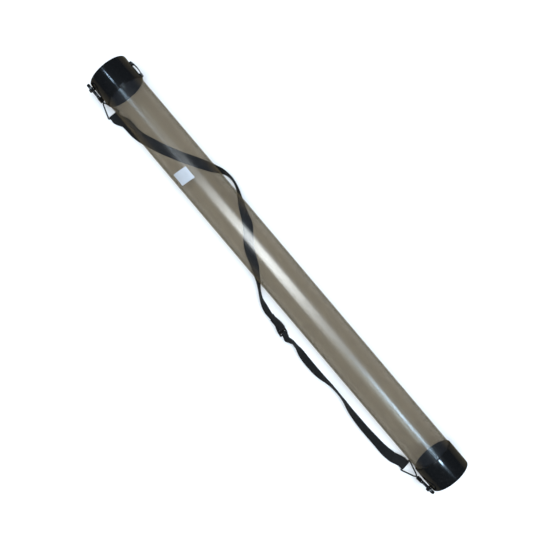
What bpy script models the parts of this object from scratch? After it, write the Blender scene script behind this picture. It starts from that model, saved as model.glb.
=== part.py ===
"""Tennis ball holder: a clear carrying tube with a sprung mouth, lying on its strap.

The tube lies along X with its open mouth at -X and its closed end at +X.
The floor is Z = 0, and the origin is under the middle of the rigid parts.
Lengths are metres; MM turns millimetres into metres.
"""

import math

import bmesh
import bpy
from mathutils import Matrix, Vector

MM = 0.001

# Driving sizes of the tube and its two black ends
TUBE_LENGTH = 940.0 * MM
TUBE_DIAMETER = 75.0 * MM
TUBE_WALL = 1.5 * MM
FIT_GAP = 0.3 * MM
COLLAR_WALL = 1.7 * MM
COLLAR_LENGTH = 49.0 * MM
END_WALL = 2.7 * MM
MOUTH_BORE = 70.0 * MM
EDGE_ROUND = 1.1 * MM
ROUND_STEPS = 64

# Lead-in of the mouth: distance out from the bore and height from the rim
MOUTH_LEAD = [(1.6 * MM, 0.0), (0.45 * MM, 0.6 * MM), (0.0, 1.7 * MM)]

# Window of the catch's nose: ahead of and behind the nose, depth, side room
WINDOW_AHEAD = 9.0 * MM
WINDOW_BEHIND = 4.6 * MM
WINDOW_DEPTH = 14.0 * MM
WINDOW_SIDE = 0.6 * MM

# Strap eyelets moulded on both ends; the root is a share of the sleeve's wall
EYELET_FROM_END = 8.0 * MM
EYELET_THICK = 2.6 * MM
EYELET_RIM = 2.1 * MM
EYELET_SLOT_ROOM = 1.25 * MM
EYELET_CORNER = 3.0 * MM
EYELET_ANGLE = 4.0
EYELET_SLOT_FLOOR = 0.25 * MM
EYELET_SLOT_CORNER = 0.9 * MM
EYELET_ROOT = 0.6

# Ball catch: a bowed lever on the mouth collar; the ears' root is a share of
# the sleeve's wall, and their flare and the spring's pitch are factors
CATCH_WIDTH = 9.6 * MM
CATCH_THICK = 1.7 * MM
CATCH_REACH_INWARD = 8.0 * MM
CATCH_PIVOT_FROM_RIM = 5.2 * MM
CATCH_PIVOT_RISE = 2.3 * MM
CATCH_LENGTH = 29.0 * MM
CATCH_BOW = 1.9 * MM
CATCH_HUB_RADIUS = 1.75 * MM
PIN_RADIUS = 0.8 * MM
PIN_PROUD = 0.4 * MM
EAR_THICK = 1.8 * MM
EAR_RADIUS = 1.9 * MM
EAR_ROOT = 0.7
EAR_FLARE = 1.35
SPRING_WIRE = 0.55 * MM
SPRING_TURNS = 4
SPRING_PITCH = 1.75
SPRING_ROOM_LENGTH = 7.4 * MM
SPRING_ROOM_DEPTH = 9.0 * MM
SPRING_ROOM_AHEAD = 0.8 * MM

# Nose of the catch in millimetres: along from the lever's end, and rise from
# its outer face (front), its inner face (throat and back) or the nose's tip
NOSE_FRONT = [(-0.9, -0.5), (-1.4, -1.6)]
NOSE_THROAT = (-1.3, -1.6)
NOSE_TIP = [(0.3, 1.2), (1.2, 0.25), (2.0, 0.0), (2.9, 0.4), (3.4, 1.4)]
NOSE_BACK = [(3.4, -2.6), (3.9, -0.9)]
NOSE_OVERLAP = 4.4

# Snap hooks at both ends of the strap: each bar lies out from its sleeve, and
# the chamfer and the clearance round the rivet's head are in millimetres
HOOK_BEND = 6.5 * MM
HOOK_ROD = 3.8 * MM
HOOK_PLATE = 5.2 * MM
HOOK_EDGE = 0.9 * MM
HOOK_SPINE_IN_EYELET = 6.5 * MM
HOOK_GATE_PIVOT = 20.0 * MM
HOOK_GATE_SIDE = 5.5 * MM
HOOK_HUB_RADIUS = 3.0 * MM
HOOK_NOSE = 2.4 * MM
HOOK_CHEEK = 0.9 * MM
GATE_HUB_RADIUS = 2.2 * MM
GATE_PIN_RADIUS = 0.8 * MM
GATE_SPRING_WIRE = 0.35 * MM
GATE_SPRING_TURNS = 2
HOOK_BARREL_START = 24.0 * MM
HOOK_BARREL_END = 33.0 * MM
HOOK_BARREL_RADIUS = 3.5 * MM
HOOK_BAR_PLACE = 66.5 * MM
HOOK_BAR_HEIGHT = 6.5 * MM
HOOK_BAR_OUT_TOP = 4.1 * MM
HOOK_BAR_OUT_BOTTOM = 10.5 * MM
GATE_ROOM = 9.0 * MM
GATE_ROOM_PLACE = (-1.7 * MM, 0.9 * MM)
HOOK_NOSE_CHAMFER = 0.4
HEAD_CLEAR = 0.4
SHANK_RADIUS = 1.5 * MM
HEAD_RADIUS = 2.4 * MM
HEAD_THICK = 1.8 * MM
LOOP_ROD = 2.6 * MM
LOOP_CORNER = 1.9 * MM
LOOP_NECK = 3.4 * MM
LOOP_SIDE_GAP = 0.9 * MM
LOOP_SHOULDER = [(0.8 * MM, 1.6 * MM), (4.0 * MM, 3.16 * MM)]
LOOP_FLARE = 0.92

# Back of the hook in millimetres: along from the barrel's start, and out from
# the spine's back (first two) or from the barrel's side
SPINE_BACK = [(-9.0, 0.0), (-5.0, 0.7)]
BARREL_BACK = [(-1.0, -1.6), (3.0, -0.1), (7.0, 1.2)]
BARREL_FRONT = [(7.0, -1.2), (3.0, 0.1)]

# Gate lever in millimetres: along from its pivot or back from its tip, and up
# from the line of its lever
GATE_BACK = [(-3.0, 1.9), (-5.4, 2.4), (-6.8, 1.6)]
GATE_TIP = [(0.5, 1.4), (0.0, 0.9), (0.0, -0.9), (0.5, -1.4)]
GATE_UNDER = (-3.4, -1.5)

# Strap webbing and its adjuster; the adjuster's place and the strap's way
# through it are in millimetres, and its heading and tilt are in degrees
STRAP_WIDTH = 19.0 * MM
STRAP_THICK = 1.2 * MM
STRAP_STEP = 6.5 * MM
FLOOR_GAP = 0.1 * MM
FOLD_BACK = 26.0 * MM
FOLD_NECK = 10.0 * MM
SLIDER_LENGTH = 14.8 * MM
SLIDER_SIDE = 3.2 * MM
SLIDER_THICK = 2.4 * MM
SLIDER_BAR = 2.4 * MM
SLIDER_EDGE = 0.6 * MM
SLIDER_CORNER = 2.4 * MM
SLIDER_SLOT_CORNER = 0.6 * MM
SLIDER_SIDE_GAP = 0.7 * MM
SLIDER_CENTRE = (84.0, -63.5)
SLIDER_HEADING = -8.0
SLIDER_TILT = -58.0
TAIL_LENGTH = 30.0 * MM
THREAD_NEAR = 1.15
THREAD_FAR = 1.9

# Paper label on the tube
LABEL_LENGTH = 25.0 * MM
LABEL_THICK = 0.25 * MM
LABEL_CENTRE_X = -236.5 * MM
LABEL_ANGLES = (96.0, 142.0)
LABEL_SKEW = 5.0 * MM

# Route points of the strap on the floor: x and y from the tube's middle line
# in millimetres, height of the lower edge in millimetres, and tilt in degrees
# with the left edge up
UPPER_ROUTE = [
    (-393.0, -36.2, 3.0, -6.0),
    (-381.0, -35.4, 1.4, -10.0),
    (-368.0, -34.8, 0.3, -10.0),
    (-354.0, -31.8, 0.0, -4.0),
    (-341.0, -26.8, 0.0, 0.0),
    (-326.0, -20.8, 0.0, 0.0),
    (-311.0, -14.4, 0.0, 0.0),
    (-296.0, -6.8, 0.0, 0.0),
    (-281.0, 1.0, 0.0, 0.0),
    (-266.0, 9.8, 0.0, 2.0),
    (-252.0, 17.6, 0.0, 12.0),
    (-239.0, 25.0, 0.0, 28.0),
    (-226.0, 32.2, 0.0, 42.0),
    (-213.0, 40.2, 0.0, 62.0),
    (-201.0, 44.8, 0.0, 75.0),
    (-189.0, 46.4, 0.0, 79.0),
    (-176.0, 44.8, 0.0, 78.0),
    (-163.0, 40.4, 0.0, 72.0),
    (-150.0, 33.8, 0.0, 61.0),
    (-136.0, 26.8, 0.0, 48.0),
    (-121.0, 20.8, 0.0, 36.0),
    (-107.0, 14.8, 0.0, 14.0),
    (-94.0, 5.4, 0.0, 2.0),
    (-81.0, -4.6, 0.0, 0.0),
    (-68.0, -12.6, 0.0, -14.0),
    (-54.0, -18.8, 0.0, -28.0),
    (-40.0, -24.4, 0.0, -40.0),
    (-27.0, -31.2, 0.0, -54.0),
    (-13.0, -38.4, 0.0, -68.0),
    (1.0, -47.2, 0.0, -77.0),
    (15.0, -54.6, 0.0, -73.0),
    (28.0, -58.6, 0.0, -60.0),
    (41.0, -61.0, 0.3, -58.0),
    (55.0, -61.6, 1.2, -68.0),
]
LOWER_ROUTE = [
    (112.0, -61.6, 1.0, -72.0),
    (123.0, -61.6, 0.0, -72.0),
    (135.0, -62.8, 0.0, -54.0),
    (150.0, -64.0, 0.0, -46.0),
    (166.0, -64.2, 0.0, -47.0),
    (181.0, -63.8, 0.0, -50.0),
    (194.0, -62.6, 0.0, -58.0),
    (206.0, -60.6, 0.0, -70.0),
    (219.0, -59.0, 0.0, -77.0),
    (232.0, -58.6, 0.0, -80.0),
    (246.0, -58.8, 0.0, -80.0),
    (259.0, -60.0, 0.0, -72.0),
    (272.0, -61.8, 0.0, -63.0),
    (286.0, -62.8, 0.0, -56.0),
    (301.0, -63.4, 0.0, -50.0),
    (317.0, -63.6, 0.0, -47.0),
    (333.0, -63.2, 0.0, -45.0),
    (349.0, -62.6, 0.0, -41.0),
    (364.0, -62.2, 0.3, -34.0),
    (379.0, -60.8, 1.2, -24.0),
    (393.0, -57.8, 2.6, -10.0),
]

# Sizes that follow from the driving sizes
TUBE_RADIUS = TUBE_DIAMETER / 2
TUBE_BORE = TUBE_RADIUS - TUBE_WALL
COLLAR_INNER = TUBE_RADIUS + FIT_GAP
COLLAR_RADIUS = COLLAR_INNER + COLLAR_WALL
HALF_LENGTH = TUBE_LENGTH / 2 + FIT_GAP + END_WALL
HALF_STEP = math.pi / ROUND_STEPS
AXIS_Z = COLLAR_RADIUS * math.cos(HALF_STEP)
EYELET_HOLE = HOOK_PLATE + 6 * FIT_GAP
EYELET_REACH = EYELET_HOLE + EYELET_RIM
EYELET_TURN = math.radians(EYELET_ANGLE)
HOOK_RADIUS_OUT = COLLAR_RADIUS + EYELET_HOLE / 2
HOOK_REACH = HOOK_BAR_PLACE - HOOK_SPINE_IN_EYELET
HOOK_DROP = AXIS_Z + HOOK_RADIUS_OUT * math.sin(EYELET_TURN) - HOOK_BAR_HEIGHT
HOOK_DIP = math.atan2(HOOK_BEND, HOOK_REACH)
HOOK_SLOPE = math.asin(HOOK_DROP / math.hypot(HOOK_REACH, HOOK_BEND)) + HOOK_DIP
SPINE_HEIGHT = HOOK_ROD / math.cos(HOOK_SLOPE) + EYELET_THICK * math.tan(HOOK_SLOPE)
EYELET_SLOT = SPINE_HEIGHT + EYELET_SLOT_ROOM
CATCH_PIVOT_RADIUS = COLLAR_RADIUS + CATCH_PIVOT_RISE
EYELET_TIP = COLLAR_RADIUS + EYELET_REACH
EYELET_FLAT = EYELET_SLOT / 2 + EYELET_RIM - EYELET_CORNER
EYELET_OUT = EYELET_TIP * math.cos(EYELET_TURN) + EYELET_FLAT * math.sin(EYELET_TURN)
CATCH_OUT = COLLAR_RADIUS + CATCH_PIVOT_RISE + CATCH_BOW + CATCH_THICK / 2
AXIS_Y = (EYELET_OUT - CATCH_OUT) / 2
CATCH_PIVOT_X = -HALF_LENGTH + COLLAR_LENGTH - CATCH_PIVOT_FROM_RIM
NOSE_X = CATCH_PIVOT_X - CATCH_LENGTH
SLIDER_WIDTH = STRAP_WIDTH + 2 * (SLIDER_SIDE_GAP + SLIDER_SIDE)
BAR_WRAP = FIT_GAP + STRAP_THICK / 2
LAYER_GAP = STRAP_THICK + 1.4 * FIT_GAP

parts = None
cutters = None


def start_scene():
    """Empty the scene and make the collections for parts and cutters."""
    global parts, cutters
    for old in list(bpy.data.objects):
        bpy.data.objects.remove(old, do_unlink=True)
    parts = bpy.data.collections.new("tennis_ball_holder")
    cutters = bpy.data.collections.new("cutters")
    for group in (parts, cutters):
        bpy.context.scene.collection.children.link(group)


def material(name, colour, roughness, metallic=0.0, alpha=1.0):
    """A Principled material in the piece's own colour."""
    made = bpy.data.materials.new(name)
    made.use_nodes = True
    shader = made.node_tree.nodes["Principled BSDF"]
    shader.inputs["Base Color"].default_value = (*colour, 1.0)
    shader.inputs["Roughness"].default_value = roughness
    shader.inputs["Metallic"].default_value = metallic
    shader.inputs["Alpha"].default_value = alpha
    return made


def black_plastic(name):
    return material(name, (0.012, 0.013, 0.015), 0.32)


def dark_metal(name):
    return material(name, (0.05, 0.05, 0.055), 0.35, 0.9)


def webbing(name):
    return material(name, (0.014, 0.014, 0.016), 0.85)


def add_piece(name, mesh, finish):
    """Put a mesh in the parts collection as one named piece."""
    piece = bpy.data.objects.new(name, mesh)
    mesh.materials.clear()
    mesh.materials.append(finish)
    parts.objects.link(piece)
    return piece


def add_tool(name, mesh):
    """Put a mesh in the cutters collection, hidden from the build."""
    tool = bpy.data.objects.new(name, mesh)
    tool.hide_render = True
    tool.display_type = "WIRE"
    cutters.objects.link(tool)
    return tool


def boolean(piece, tool, operation):
    """Cut a tool from a piece, or join it to the piece."""
    step = piece.modifiers.new(operation.lower(), "BOOLEAN")
    step.operation = operation
    step.solver = "EXACT"
    step.object = tool
    return step


def box_mesh(name, size, centre=(0, 0, 0), bevel=0.0):
    """A box from a cube primitive, with its upright edges along Z rounded."""
    shape = bmesh.new()
    bmesh.ops.create_cube(shape, size=1.0)
    bmesh.ops.scale(shape, vec=size, verts=shape.verts)
    if bevel:
        upright = [
            edge
            for edge in shape.edges
            if abs(edge.verts[0].co.z - edge.verts[1].co.z) > size[2] / 2
        ]
        bmesh.ops.bevel(
            shape, geom=upright, offset=bevel, segments=4, profile=0.5, affect="EDGES"
        )
    bmesh.ops.translate(shape, vec=centre, verts=shape.verts)
    mesh = bpy.data.meshes.new(name)
    shape.to_mesh(mesh)
    shape.free()
    return mesh


def rod_mesh(name, radius, length, segments=20, axis="Z", centre=(0, 0, 0)):
    """A plain round rod about the named axis."""
    shape = bmesh.new()
    bmesh.ops.create_cone(
        shape,
        cap_ends=True,
        segments=segments,
        radius1=radius,
        radius2=radius,
        depth=length,
    )
    turn = {
        "X": Matrix.Rotation(math.pi / 2, 4, "Y"),
        "Y": Matrix.Rotation(math.pi / 2, 4, "X"),
        "Z": Matrix.Identity(4),
    }[axis]
    bmesh.ops.transform(shape, matrix=turn, verts=shape.verts)
    bmesh.ops.translate(shape, vec=centre, verts=shape.verts)
    mesh = bpy.data.meshes.new(name)
    shape.to_mesh(mesh)
    shape.free()
    return mesh


def turned(name, profile, start_angle=0.0):
    """A closed section of (radius, height) points, for a Screw about Z."""
    shape = bmesh.new()
    points = [
        shape.verts.new(
            (radius * math.cos(start_angle), radius * math.sin(start_angle), height)
        )
        for radius, height in profile
    ]
    for first, second in zip(points, points[1:] + points[:1]):
        if first.co.xy.length or second.co.xy.length:
            shape.edges.new((first, second))
    mesh = bpy.data.meshes.new(name)
    shape.to_mesh(mesh)
    shape.free()
    return mesh


def screw(piece, steps):
    """Turn a piece's profile right round its own Z axis."""
    turn = piece.modifiers.new("turn", "SCREW")
    turn.axis = "Z"
    turn.angle = math.tau
    turn.steps = steps
    turn.render_steps = steps
    turn.use_merge_vertices = True
    turn.merge_threshold = 0.00001
    return turn


def lay_along_x(piece, x):
    """Lay a turned piece's axis on the tube's axis, its zero height at x."""
    piece.rotation_euler = (0.0, math.pi / 2, 0.0)
    piece.location = (x, AXIS_Y, AXIS_Z)


def corner(centre, radius, start_deg, end_deg, steps=3):
    """Points of a rounded corner, in (radius, height)."""
    points = []
    for index in range(steps + 1):
        angle = math.radians(start_deg + (end_deg - start_deg) * index / steps)
        points.append(
            (
                centre[0] + radius * math.cos(angle),
                centre[1] + radius * math.sin(angle),
            )
        )
    return points


def frame_matrix(place, along, up_hint):
    """A frame at a place: X along one way, Z as near as can be to the hint."""
    x_axis = Vector(along).normalized()
    y_axis = Vector(up_hint).cross(x_axis).normalized()
    z_axis = x_axis.cross(y_axis)
    turn = Matrix((x_axis, y_axis, z_axis)).transposed().to_4x4()
    return Matrix.Translation(place) @ turn


def empty(name, matrix):
    """A guide empty that carries the pieces of one small assembly."""
    holder = bpy.data.objects.new(name, None)
    holder.matrix_world = matrix
    parts.objects.link(holder)
    return holder


def around_tube(radius, angle_deg, x):
    """The frame at an angle up from the tube's -Y side: X in, Y up, Z out."""
    angle = math.radians(angle_deg)
    outward = Vector((0.0, -math.cos(angle), math.sin(angle)))
    upward = Vector((0.0, math.sin(angle), math.cos(angle)))
    place = Vector((x, AXIS_Y, AXIS_Z)) + outward * radius
    return place, outward, upward


def make_tube():
    """The clear tube, with the window that the catch's nose goes through."""
    half = TUBE_LENGTH / 2
    profile = [
        (TUBE_RADIUS, half),
        (TUBE_RADIUS, -half),
        (TUBE_BORE, -half),
        (TUBE_BORE, half),
    ]
    clear = material("clear_tube", (0.55, 0.53, 0.50), 0.08, 0.0, 0.35)
    tube = add_piece("tube", turned("tube", profile, HALF_STEP), clear)
    screw(tube, ROUND_STEPS)
    lay_along_x(tube, 0.0)
    boolean(tube, catch_window("tube_window", 0.0), "DIFFERENCE")


def catch_window(name, clearance):
    """The window's cutter: it reaches from the bore out past the collar."""
    front = NOSE_X - WINDOW_AHEAD
    back = NOSE_X + WINDOW_BEHIND
    size = (
        back - front + 2 * clearance,
        WINDOW_DEPTH,
        CATCH_WIDTH + 2 * (WINDOW_SIDE + clearance),
    )
    middle = ((front + back) / 2, AXIS_Y + TUBE_RADIUS, AXIS_Z)
    mesh = box_mesh(name, size)
    cutter = add_tool(name, mesh)
    cutter.location = middle
    return cutter


def collar_profile(mouth):
    """The section of an end's sleeve, its closed or open end at height zero."""
    outer = corner(
        (COLLAR_RADIUS - EDGE_ROUND, COLLAR_LENGTH - EDGE_ROUND), EDGE_ROUND, 90, 0
    )
    outer += corner((COLLAR_RADIUS - EDGE_ROUND, EDGE_ROUND), EDGE_ROUND, 0, -90)
    if mouth:
        inner = [(MOUTH_BORE / 2 + out, height) for out, height in MOUTH_LEAD]
        inner.append((MOUTH_BORE / 2, END_WALL))
    else:
        inner = [(0.0, 0.0), (0.0, END_WALL)]
    return outer + inner + [(COLLAR_INNER, END_WALL), (COLLAR_INNER, COLLAR_LENGTH)]


def eyelet_tool(name, x):
    """The solid loop of an eyelet, before its slot is cut."""
    root = COLLAR_RADIUS - COLLAR_WALL * EYELET_ROOT
    place, outward, upward = around_tube((root + EYELET_TIP) / 2, EYELET_ANGLE, x)
    size = (EYELET_TIP - root, EYELET_SLOT + 2 * EYELET_RIM, EYELET_THICK)
    shape = bmesh.new()
    bmesh.ops.create_cube(shape, size=1.0)
    bmesh.ops.scale(shape, vec=size, verts=shape.verts)
    tip_edges = [
        edge
        for edge in shape.edges
        if all(vert.co.x > 0 for vert in edge.verts)
        and abs(edge.verts[0].co.z - edge.verts[1].co.z) > EYELET_THICK / 2
    ]
    bmesh.ops.bevel(
        shape,
        geom=tip_edges,
        offset=EYELET_CORNER,
        segments=4,
        profile=0.5,
        affect="EDGES",
    )
    mesh = bpy.data.meshes.new(name)
    shape.to_mesh(mesh)
    shape.free()
    tool = add_tool(name, mesh)
    tool.matrix_world = frame_matrix(place, outward, outward.cross(upward))
    return tool


def eyelet_slot(name, x):
    """The cutter of an eyelet's slot, which the hook's spine passes through."""
    floor = COLLAR_RADIUS + EYELET_SLOT_FLOOR
    roof = COLLAR_RADIUS + EYELET_HOLE
    place, outward, upward = around_tube((floor + roof) / 2, EYELET_ANGLE, x)
    size = (roof - floor, EYELET_SLOT, EYELET_THICK * 3)
    mesh = box_mesh(name, size, bevel=EYELET_SLOT_CORNER)
    tool = add_tool(name, mesh)
    tool.matrix_world = frame_matrix(place, outward, outward.cross(upward))
    return tool


def add_eyelet(collar, name, x):
    """Join an eyelet's loop to an end and cut its slot."""
    boolean(collar, eyelet_tool(name + "_loop", x), "UNION")
    boolean(collar, eyelet_slot(name + "_slot", x), "DIFFERENCE")


def make_mouth_collar():
    """The open black end, with its catch ears, window and strap eyelet."""
    mesh = turned("mouth_collar", collar_profile(True), HALF_STEP)
    collar = add_piece("mouth_collar", mesh, black_plastic("mouth_collar_black"))
    screw(collar, ROUND_STEPS)
    lay_along_x(collar, -HALF_LENGTH)
    for side in (-1, 1):
        ear = ear_tool("catch_ear", side)
        boolean(collar, ear, "UNION")
    boolean(collar, catch_window("collar_window", FIT_GAP), "DIFFERENCE")
    pin_hole = add_tool(
        "catch_pin_hole",
        rod_mesh("catch_pin_hole", PIN_RADIUS + FIT_GAP, CATCH_WIDTH * 3, 16),
    )
    pin_hole.location = catch_pivot()
    boolean(collar, pin_hole, "DIFFERENCE")
    add_eyelet(collar, "top_eyelet", -HALF_LENGTH + EYELET_FROM_END)


def catch_pivot():
    """The catch's pivot, on the tube's +Y side."""
    return Vector((CATCH_PIVOT_X, AXIS_Y + CATCH_PIVOT_RADIUS, AXIS_Z))


def ear_tool(name, side):
    """One ear that holds the catch's pin, rooted in the collar's wall."""
    depth = CATCH_PIVOT_RISE + COLLAR_WALL * EAR_ROOT
    shape = bmesh.new()
    bmesh.ops.create_cone(
        shape,
        cap_ends=True,
        segments=20,
        radius1=EAR_RADIUS,
        radius2=EAR_RADIUS,
        depth=EAR_THICK,
    )
    for vert in shape.verts:
        if vert.co.y < -EAR_RADIUS / ROUND_STEPS:
            vert.co.y = -depth
            vert.co.x *= EAR_FLARE
    mesh = bpy.data.meshes.new(name)
    shape.to_mesh(mesh)
    shape.free()
    tool = add_tool(name, mesh)
    offset = CATCH_WIDTH / 2 + FIT_GAP + EAR_THICK / 2
    tool.location = catch_pivot() + Vector((0.0, 0.0, side * offset))
    return tool


def make_end_cap():
    """The closed black end, with its strap eyelet."""
    mesh = turned("end_cap", collar_profile(False), HALF_STEP)
    cap = add_piece("end_cap", mesh, black_plastic("end_cap_black"))
    screw(cap, ROUND_STEPS)
    lay_along_x(cap, HALF_LENGTH)
    cap.rotation_euler = (0.0, -math.pi / 2, 0.0)
    add_eyelet(cap, "bottom_eyelet", HALF_LENGTH - EYELET_FROM_END)


def catch_outline():
    """The catch's side view in millimetres from its pivot: x along, y out."""
    length = CATCH_LENGTH / MM
    half = CATCH_THICK / 2 / MM
    bow = CATCH_BOW / MM
    inward = (COLLAR_RADIUS - TUBE_BORE + CATCH_REACH_INWARD) / MM
    tip = -(CATCH_PIVOT_RISE / MM + inward)
    outer = []
    inner = []
    steps = 14
    for index in range(steps + 1):
        share = index / steps
        rise = bow * math.sin(math.pi * share)
        outer.append((-length * share, rise + half))
        inner.append((-length * share, rise - half))
    nose = [(along - length, out + half) for along, out in NOSE_FRONT]
    nose.append((NOSE_THROAT[0] - length, NOSE_THROAT[1] - half))
    nose += [(along - length, out + tip) for along, out in NOSE_TIP]
    nose += [(along - length, out - half) for along, out in NOSE_BACK]
    inner_kept = [point for point in inner if point[0] > NOSE_OVERLAP - length]
    return outer + nose + list(reversed(inner_kept))


def outline_mesh(name, points, thickness, origin=(0.0, 0.0), bevel=0.0):
    """A flat outline in millimetres, filled and given a thickness along Z."""
    curve = bpy.data.curves.new(name, "CURVE")
    curve.dimensions = "2D"
    curve.fill_mode = "BOTH"
    curve.extrude = thickness / 2 - bevel
    curve.bevel_depth = bevel
    curve.bevel_resolution = 0
    curve.offset = -bevel
    line = curve.splines.new("POLY")
    line.points.add(len(points) - 1)
    for target, (x, y) in zip(line.points, points):
        target.co = ((x - origin[0]) * MM, (y - origin[1]) * MM, 0.0, 1.0)
    line.use_cyclic_u = True
    return curve_mesh(name, curve)


def curve_mesh(name, curve):
    """A curve's evaluated surface as a closed mesh."""
    holder = bpy.data.objects.new(name, curve)
    bpy.context.scene.collection.objects.link(holder)
    depsgraph = bpy.context.evaluated_depsgraph_get()
    mesh = bpy.data.meshes.new_from_object(holder.evaluated_get(depsgraph))
    bpy.data.objects.remove(holder, do_unlink=True)
    shape = bmesh.new()
    shape.from_mesh(mesh)
    bmesh.ops.remove_doubles(shape, verts=shape.verts, dist=0.000005)
    bmesh.ops.recalc_face_normals(shape, faces=shape.faces)
    shape.to_mesh(mesh)
    shape.free()
    mesh.name = name
    return mesh


def make_catch():
    """The sprung lever that keeps the balls in: bow, nose and split hub."""
    pivot = catch_pivot()
    lever = add_piece(
        "ball_catch",
        outline_mesh("ball_catch", catch_outline(), CATCH_WIDTH),
        black_plastic("ball_catch_black"),
    )
    lever.location = pivot
    hub = add_tool(
        "catch_hub", rod_mesh("catch_hub", CATCH_HUB_RADIUS, CATCH_WIDTH, 20)
    )
    hub.location = pivot
    boolean(lever, hub, "UNION")
    bore = add_tool(
        "catch_bore", rod_mesh("catch_bore", PIN_RADIUS + FIT_GAP, CATCH_WIDTH * 2, 16)
    )
    bore.location = pivot
    boolean(lever, bore, "DIFFERENCE")
    room = add_tool(
        "catch_spring_room",
        box_mesh(
            "catch_spring_room",
            (
                SPRING_ROOM_LENGTH,
                SPRING_ROOM_DEPTH,
                2 * (coil_half_width(SPRING_WIRE, SPRING_TURNS) + FIT_GAP),
            ),
        ),
    )
    room.location = pivot + Vector((SPRING_ROOM_AHEAD, 0.0, 0.0))
    boolean(lever, room, "DIFFERENCE")
    pin_length = CATCH_WIDTH + 2 * (FIT_GAP + EAR_THICK + PIN_PROUD)
    pin = add_piece(
        "catch_pin",
        rod_mesh("catch_pin", PIN_RADIUS, pin_length, 16),
        dark_metal("catch_pin_steel"),
    )
    pin.location = pivot


def coil_half_width(wire, turns):
    """Half the length of a coil along its pin."""
    return (turns * wire * SPRING_PITCH + wire) / 2


def coil_mesh(name, wire, turns, pin_radius):
    """A torsion spring's coil about Z, one unbroken wire round its pin."""
    pitch = wire * SPRING_PITCH
    radius = pin_radius + FIT_GAP + wire / 2
    points_per_turn = 10
    curve = bpy.data.curves.new(name, "CURVE")
    curve.dimensions = "3D"
    curve.bevel_depth = wire / 2
    curve.bevel_resolution = 1
    curve.use_fill_caps = True
    line = curve.splines.new("POLY")
    count = turns * points_per_turn
    line.points.add(count)
    for index, target in enumerate(line.points):
        angle = math.tau * index / points_per_turn
        rise = pitch * (index / points_per_turn - turns / 2)
        target.co = (radius * math.cos(angle), radius * math.sin(angle), rise, 1.0)
    return curve_mesh(name, curve)


def make_catch_spring():
    """The torsion spring on the catch's pin."""
    spring = add_piece(
        "catch_spring",
        coil_mesh("catch_spring", SPRING_WIRE, SPRING_TURNS, PIN_RADIUS),
        dark_metal("catch_spring_steel"),
    )
    spring.location = catch_pivot()


def hook_frame(top):
    """The hook's frame: X to its loop's bar, Y to its gate, at its bend.

    The spine crosses the eyelet's slot and the bar lies at its chosen place,
    so the frame follows from the hook's own sizes.
    """
    end = -1.0 if top else 1.0
    eyelet_x = end * (HALF_LENGTH - EYELET_FROM_END)
    hole, _, _ = around_tube(HOOK_RADIUS_OUT, EYELET_ANGLE, eyelet_x)
    bar_out = HOOK_BAR_OUT_TOP if top else HOOK_BAR_OUT_BOTTOM
    aside = AXIS_Y - COLLAR_RADIUS - bar_out - hole.y
    inward = math.sqrt(HOOK_REACH**2 + HOOK_BEND**2 - aside**2 - HOOK_DROP**2)
    to_bar = Vector((-end * inward, aside, -HOOK_DROP)).normalized()
    up_way = (Vector((0.0, 0.0, 1.0)) - to_bar * to_bar.z).normalized()
    along = to_bar * math.cos(HOOK_DIP) - up_way * math.sin(HOOK_DIP)
    gate_way = to_bar * math.sin(HOOK_DIP) + up_way * math.cos(HOOK_DIP)
    bend = hole - along * HOOK_SPINE_IN_EYELET + gate_way * HOOK_BEND
    return frame_matrix(bend, along, along.cross(gate_way))


def swivel_matrix(top):
    """The swivel's frame on the shank's axis, its bar level with the floor."""
    frame = hook_frame(top)
    along = (frame.to_3x3() @ Vector((1.0, 0.0, 0.0))).normalized()
    level = Vector((0.0, 0.0, 1.0)).cross(along)
    if level.y < 0:
        level = -level
    return frame_matrix(frame.translation, along, level)


def arc(centre, radius, start_deg, end_deg, steps):
    """Points along an arc in millimetres."""
    points = []
    for index in range(steps + 1):
        angle = math.radians(start_deg + (end_deg - start_deg) * index / steps)
        points.append(
            (
                centre[0] + radius * math.cos(angle),
                centre[1] + radius * math.sin(angle),
            )
        )
    return points


def hook_outline():
    """The hook's side view in millimetres: nose, bend, spine and gate arm."""
    bend = HOOK_BEND / MM
    half = HOOK_ROD / 2 / MM
    nose = HOOK_NOSE / MM
    start = HOOK_BARREL_START / MM
    pivot = HOOK_GATE_PIVOT / MM
    side = HOOK_GATE_SIDE / MM
    hub = HOOK_HUB_RADIUS / MM
    barrel = HOOK_BARREL_RADIUS / MM
    clear = HEAD_RADIUS / MM + HEAD_CLEAR
    outline = [
        (nose, bend - half + HOOK_NOSE_CHAMFER),
        (nose, bend + half - HOOK_NOSE_CHAMFER),
    ]
    outline += arc((0.0, 0.0), bend + half, 90.0, 270.0, 14)
    outline += [(start + along, out - bend - half) for along, out in SPINE_BACK]
    outline += [(start + along, out - barrel) for along, out in BARREL_BACK]
    outline += [(start + along, out + barrel) for along, out in BARREL_FRONT]
    outline.append((start + 0.4, side + 0.9))
    outline += arc((pivot, side), hub, 35.0, 225.0, 9)
    outline += [
        (pivot + 0.6, clear + 0.2),
        (start - 0.4, clear + 0.2),
        (start + 0.4, clear - 0.8),
        (start + 0.4, -clear + 0.8),
        (start - 0.6, -clear - 0.3),
        (start - 4.5, -bend + half + 0.5),
        (start - 8.5, -bend + half),
    ]
    outline += arc((0.0, 0.0), bend - half, 270.0, 90.0, 12)
    return outline


def gate_outline():
    """The gate in millimetres from its pivot: a hub and a tapering lever."""
    reach = (HOOK_GATE_PIVOT - HOOK_NOSE - FIT_GAP) / MM
    lift = (HOOK_BEND - HOOK_GATE_SIDE) / MM
    outline = arc((0.0, 0.0), GATE_HUB_RADIUS / MM, -75.0, 75.0, 8)
    outline += [(along, lift + up) for along, up in GATE_BACK]
    outline += [(along - reach, lift + up) for along, up in GATE_TIP]
    return outline + [GATE_UNDER]


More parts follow.
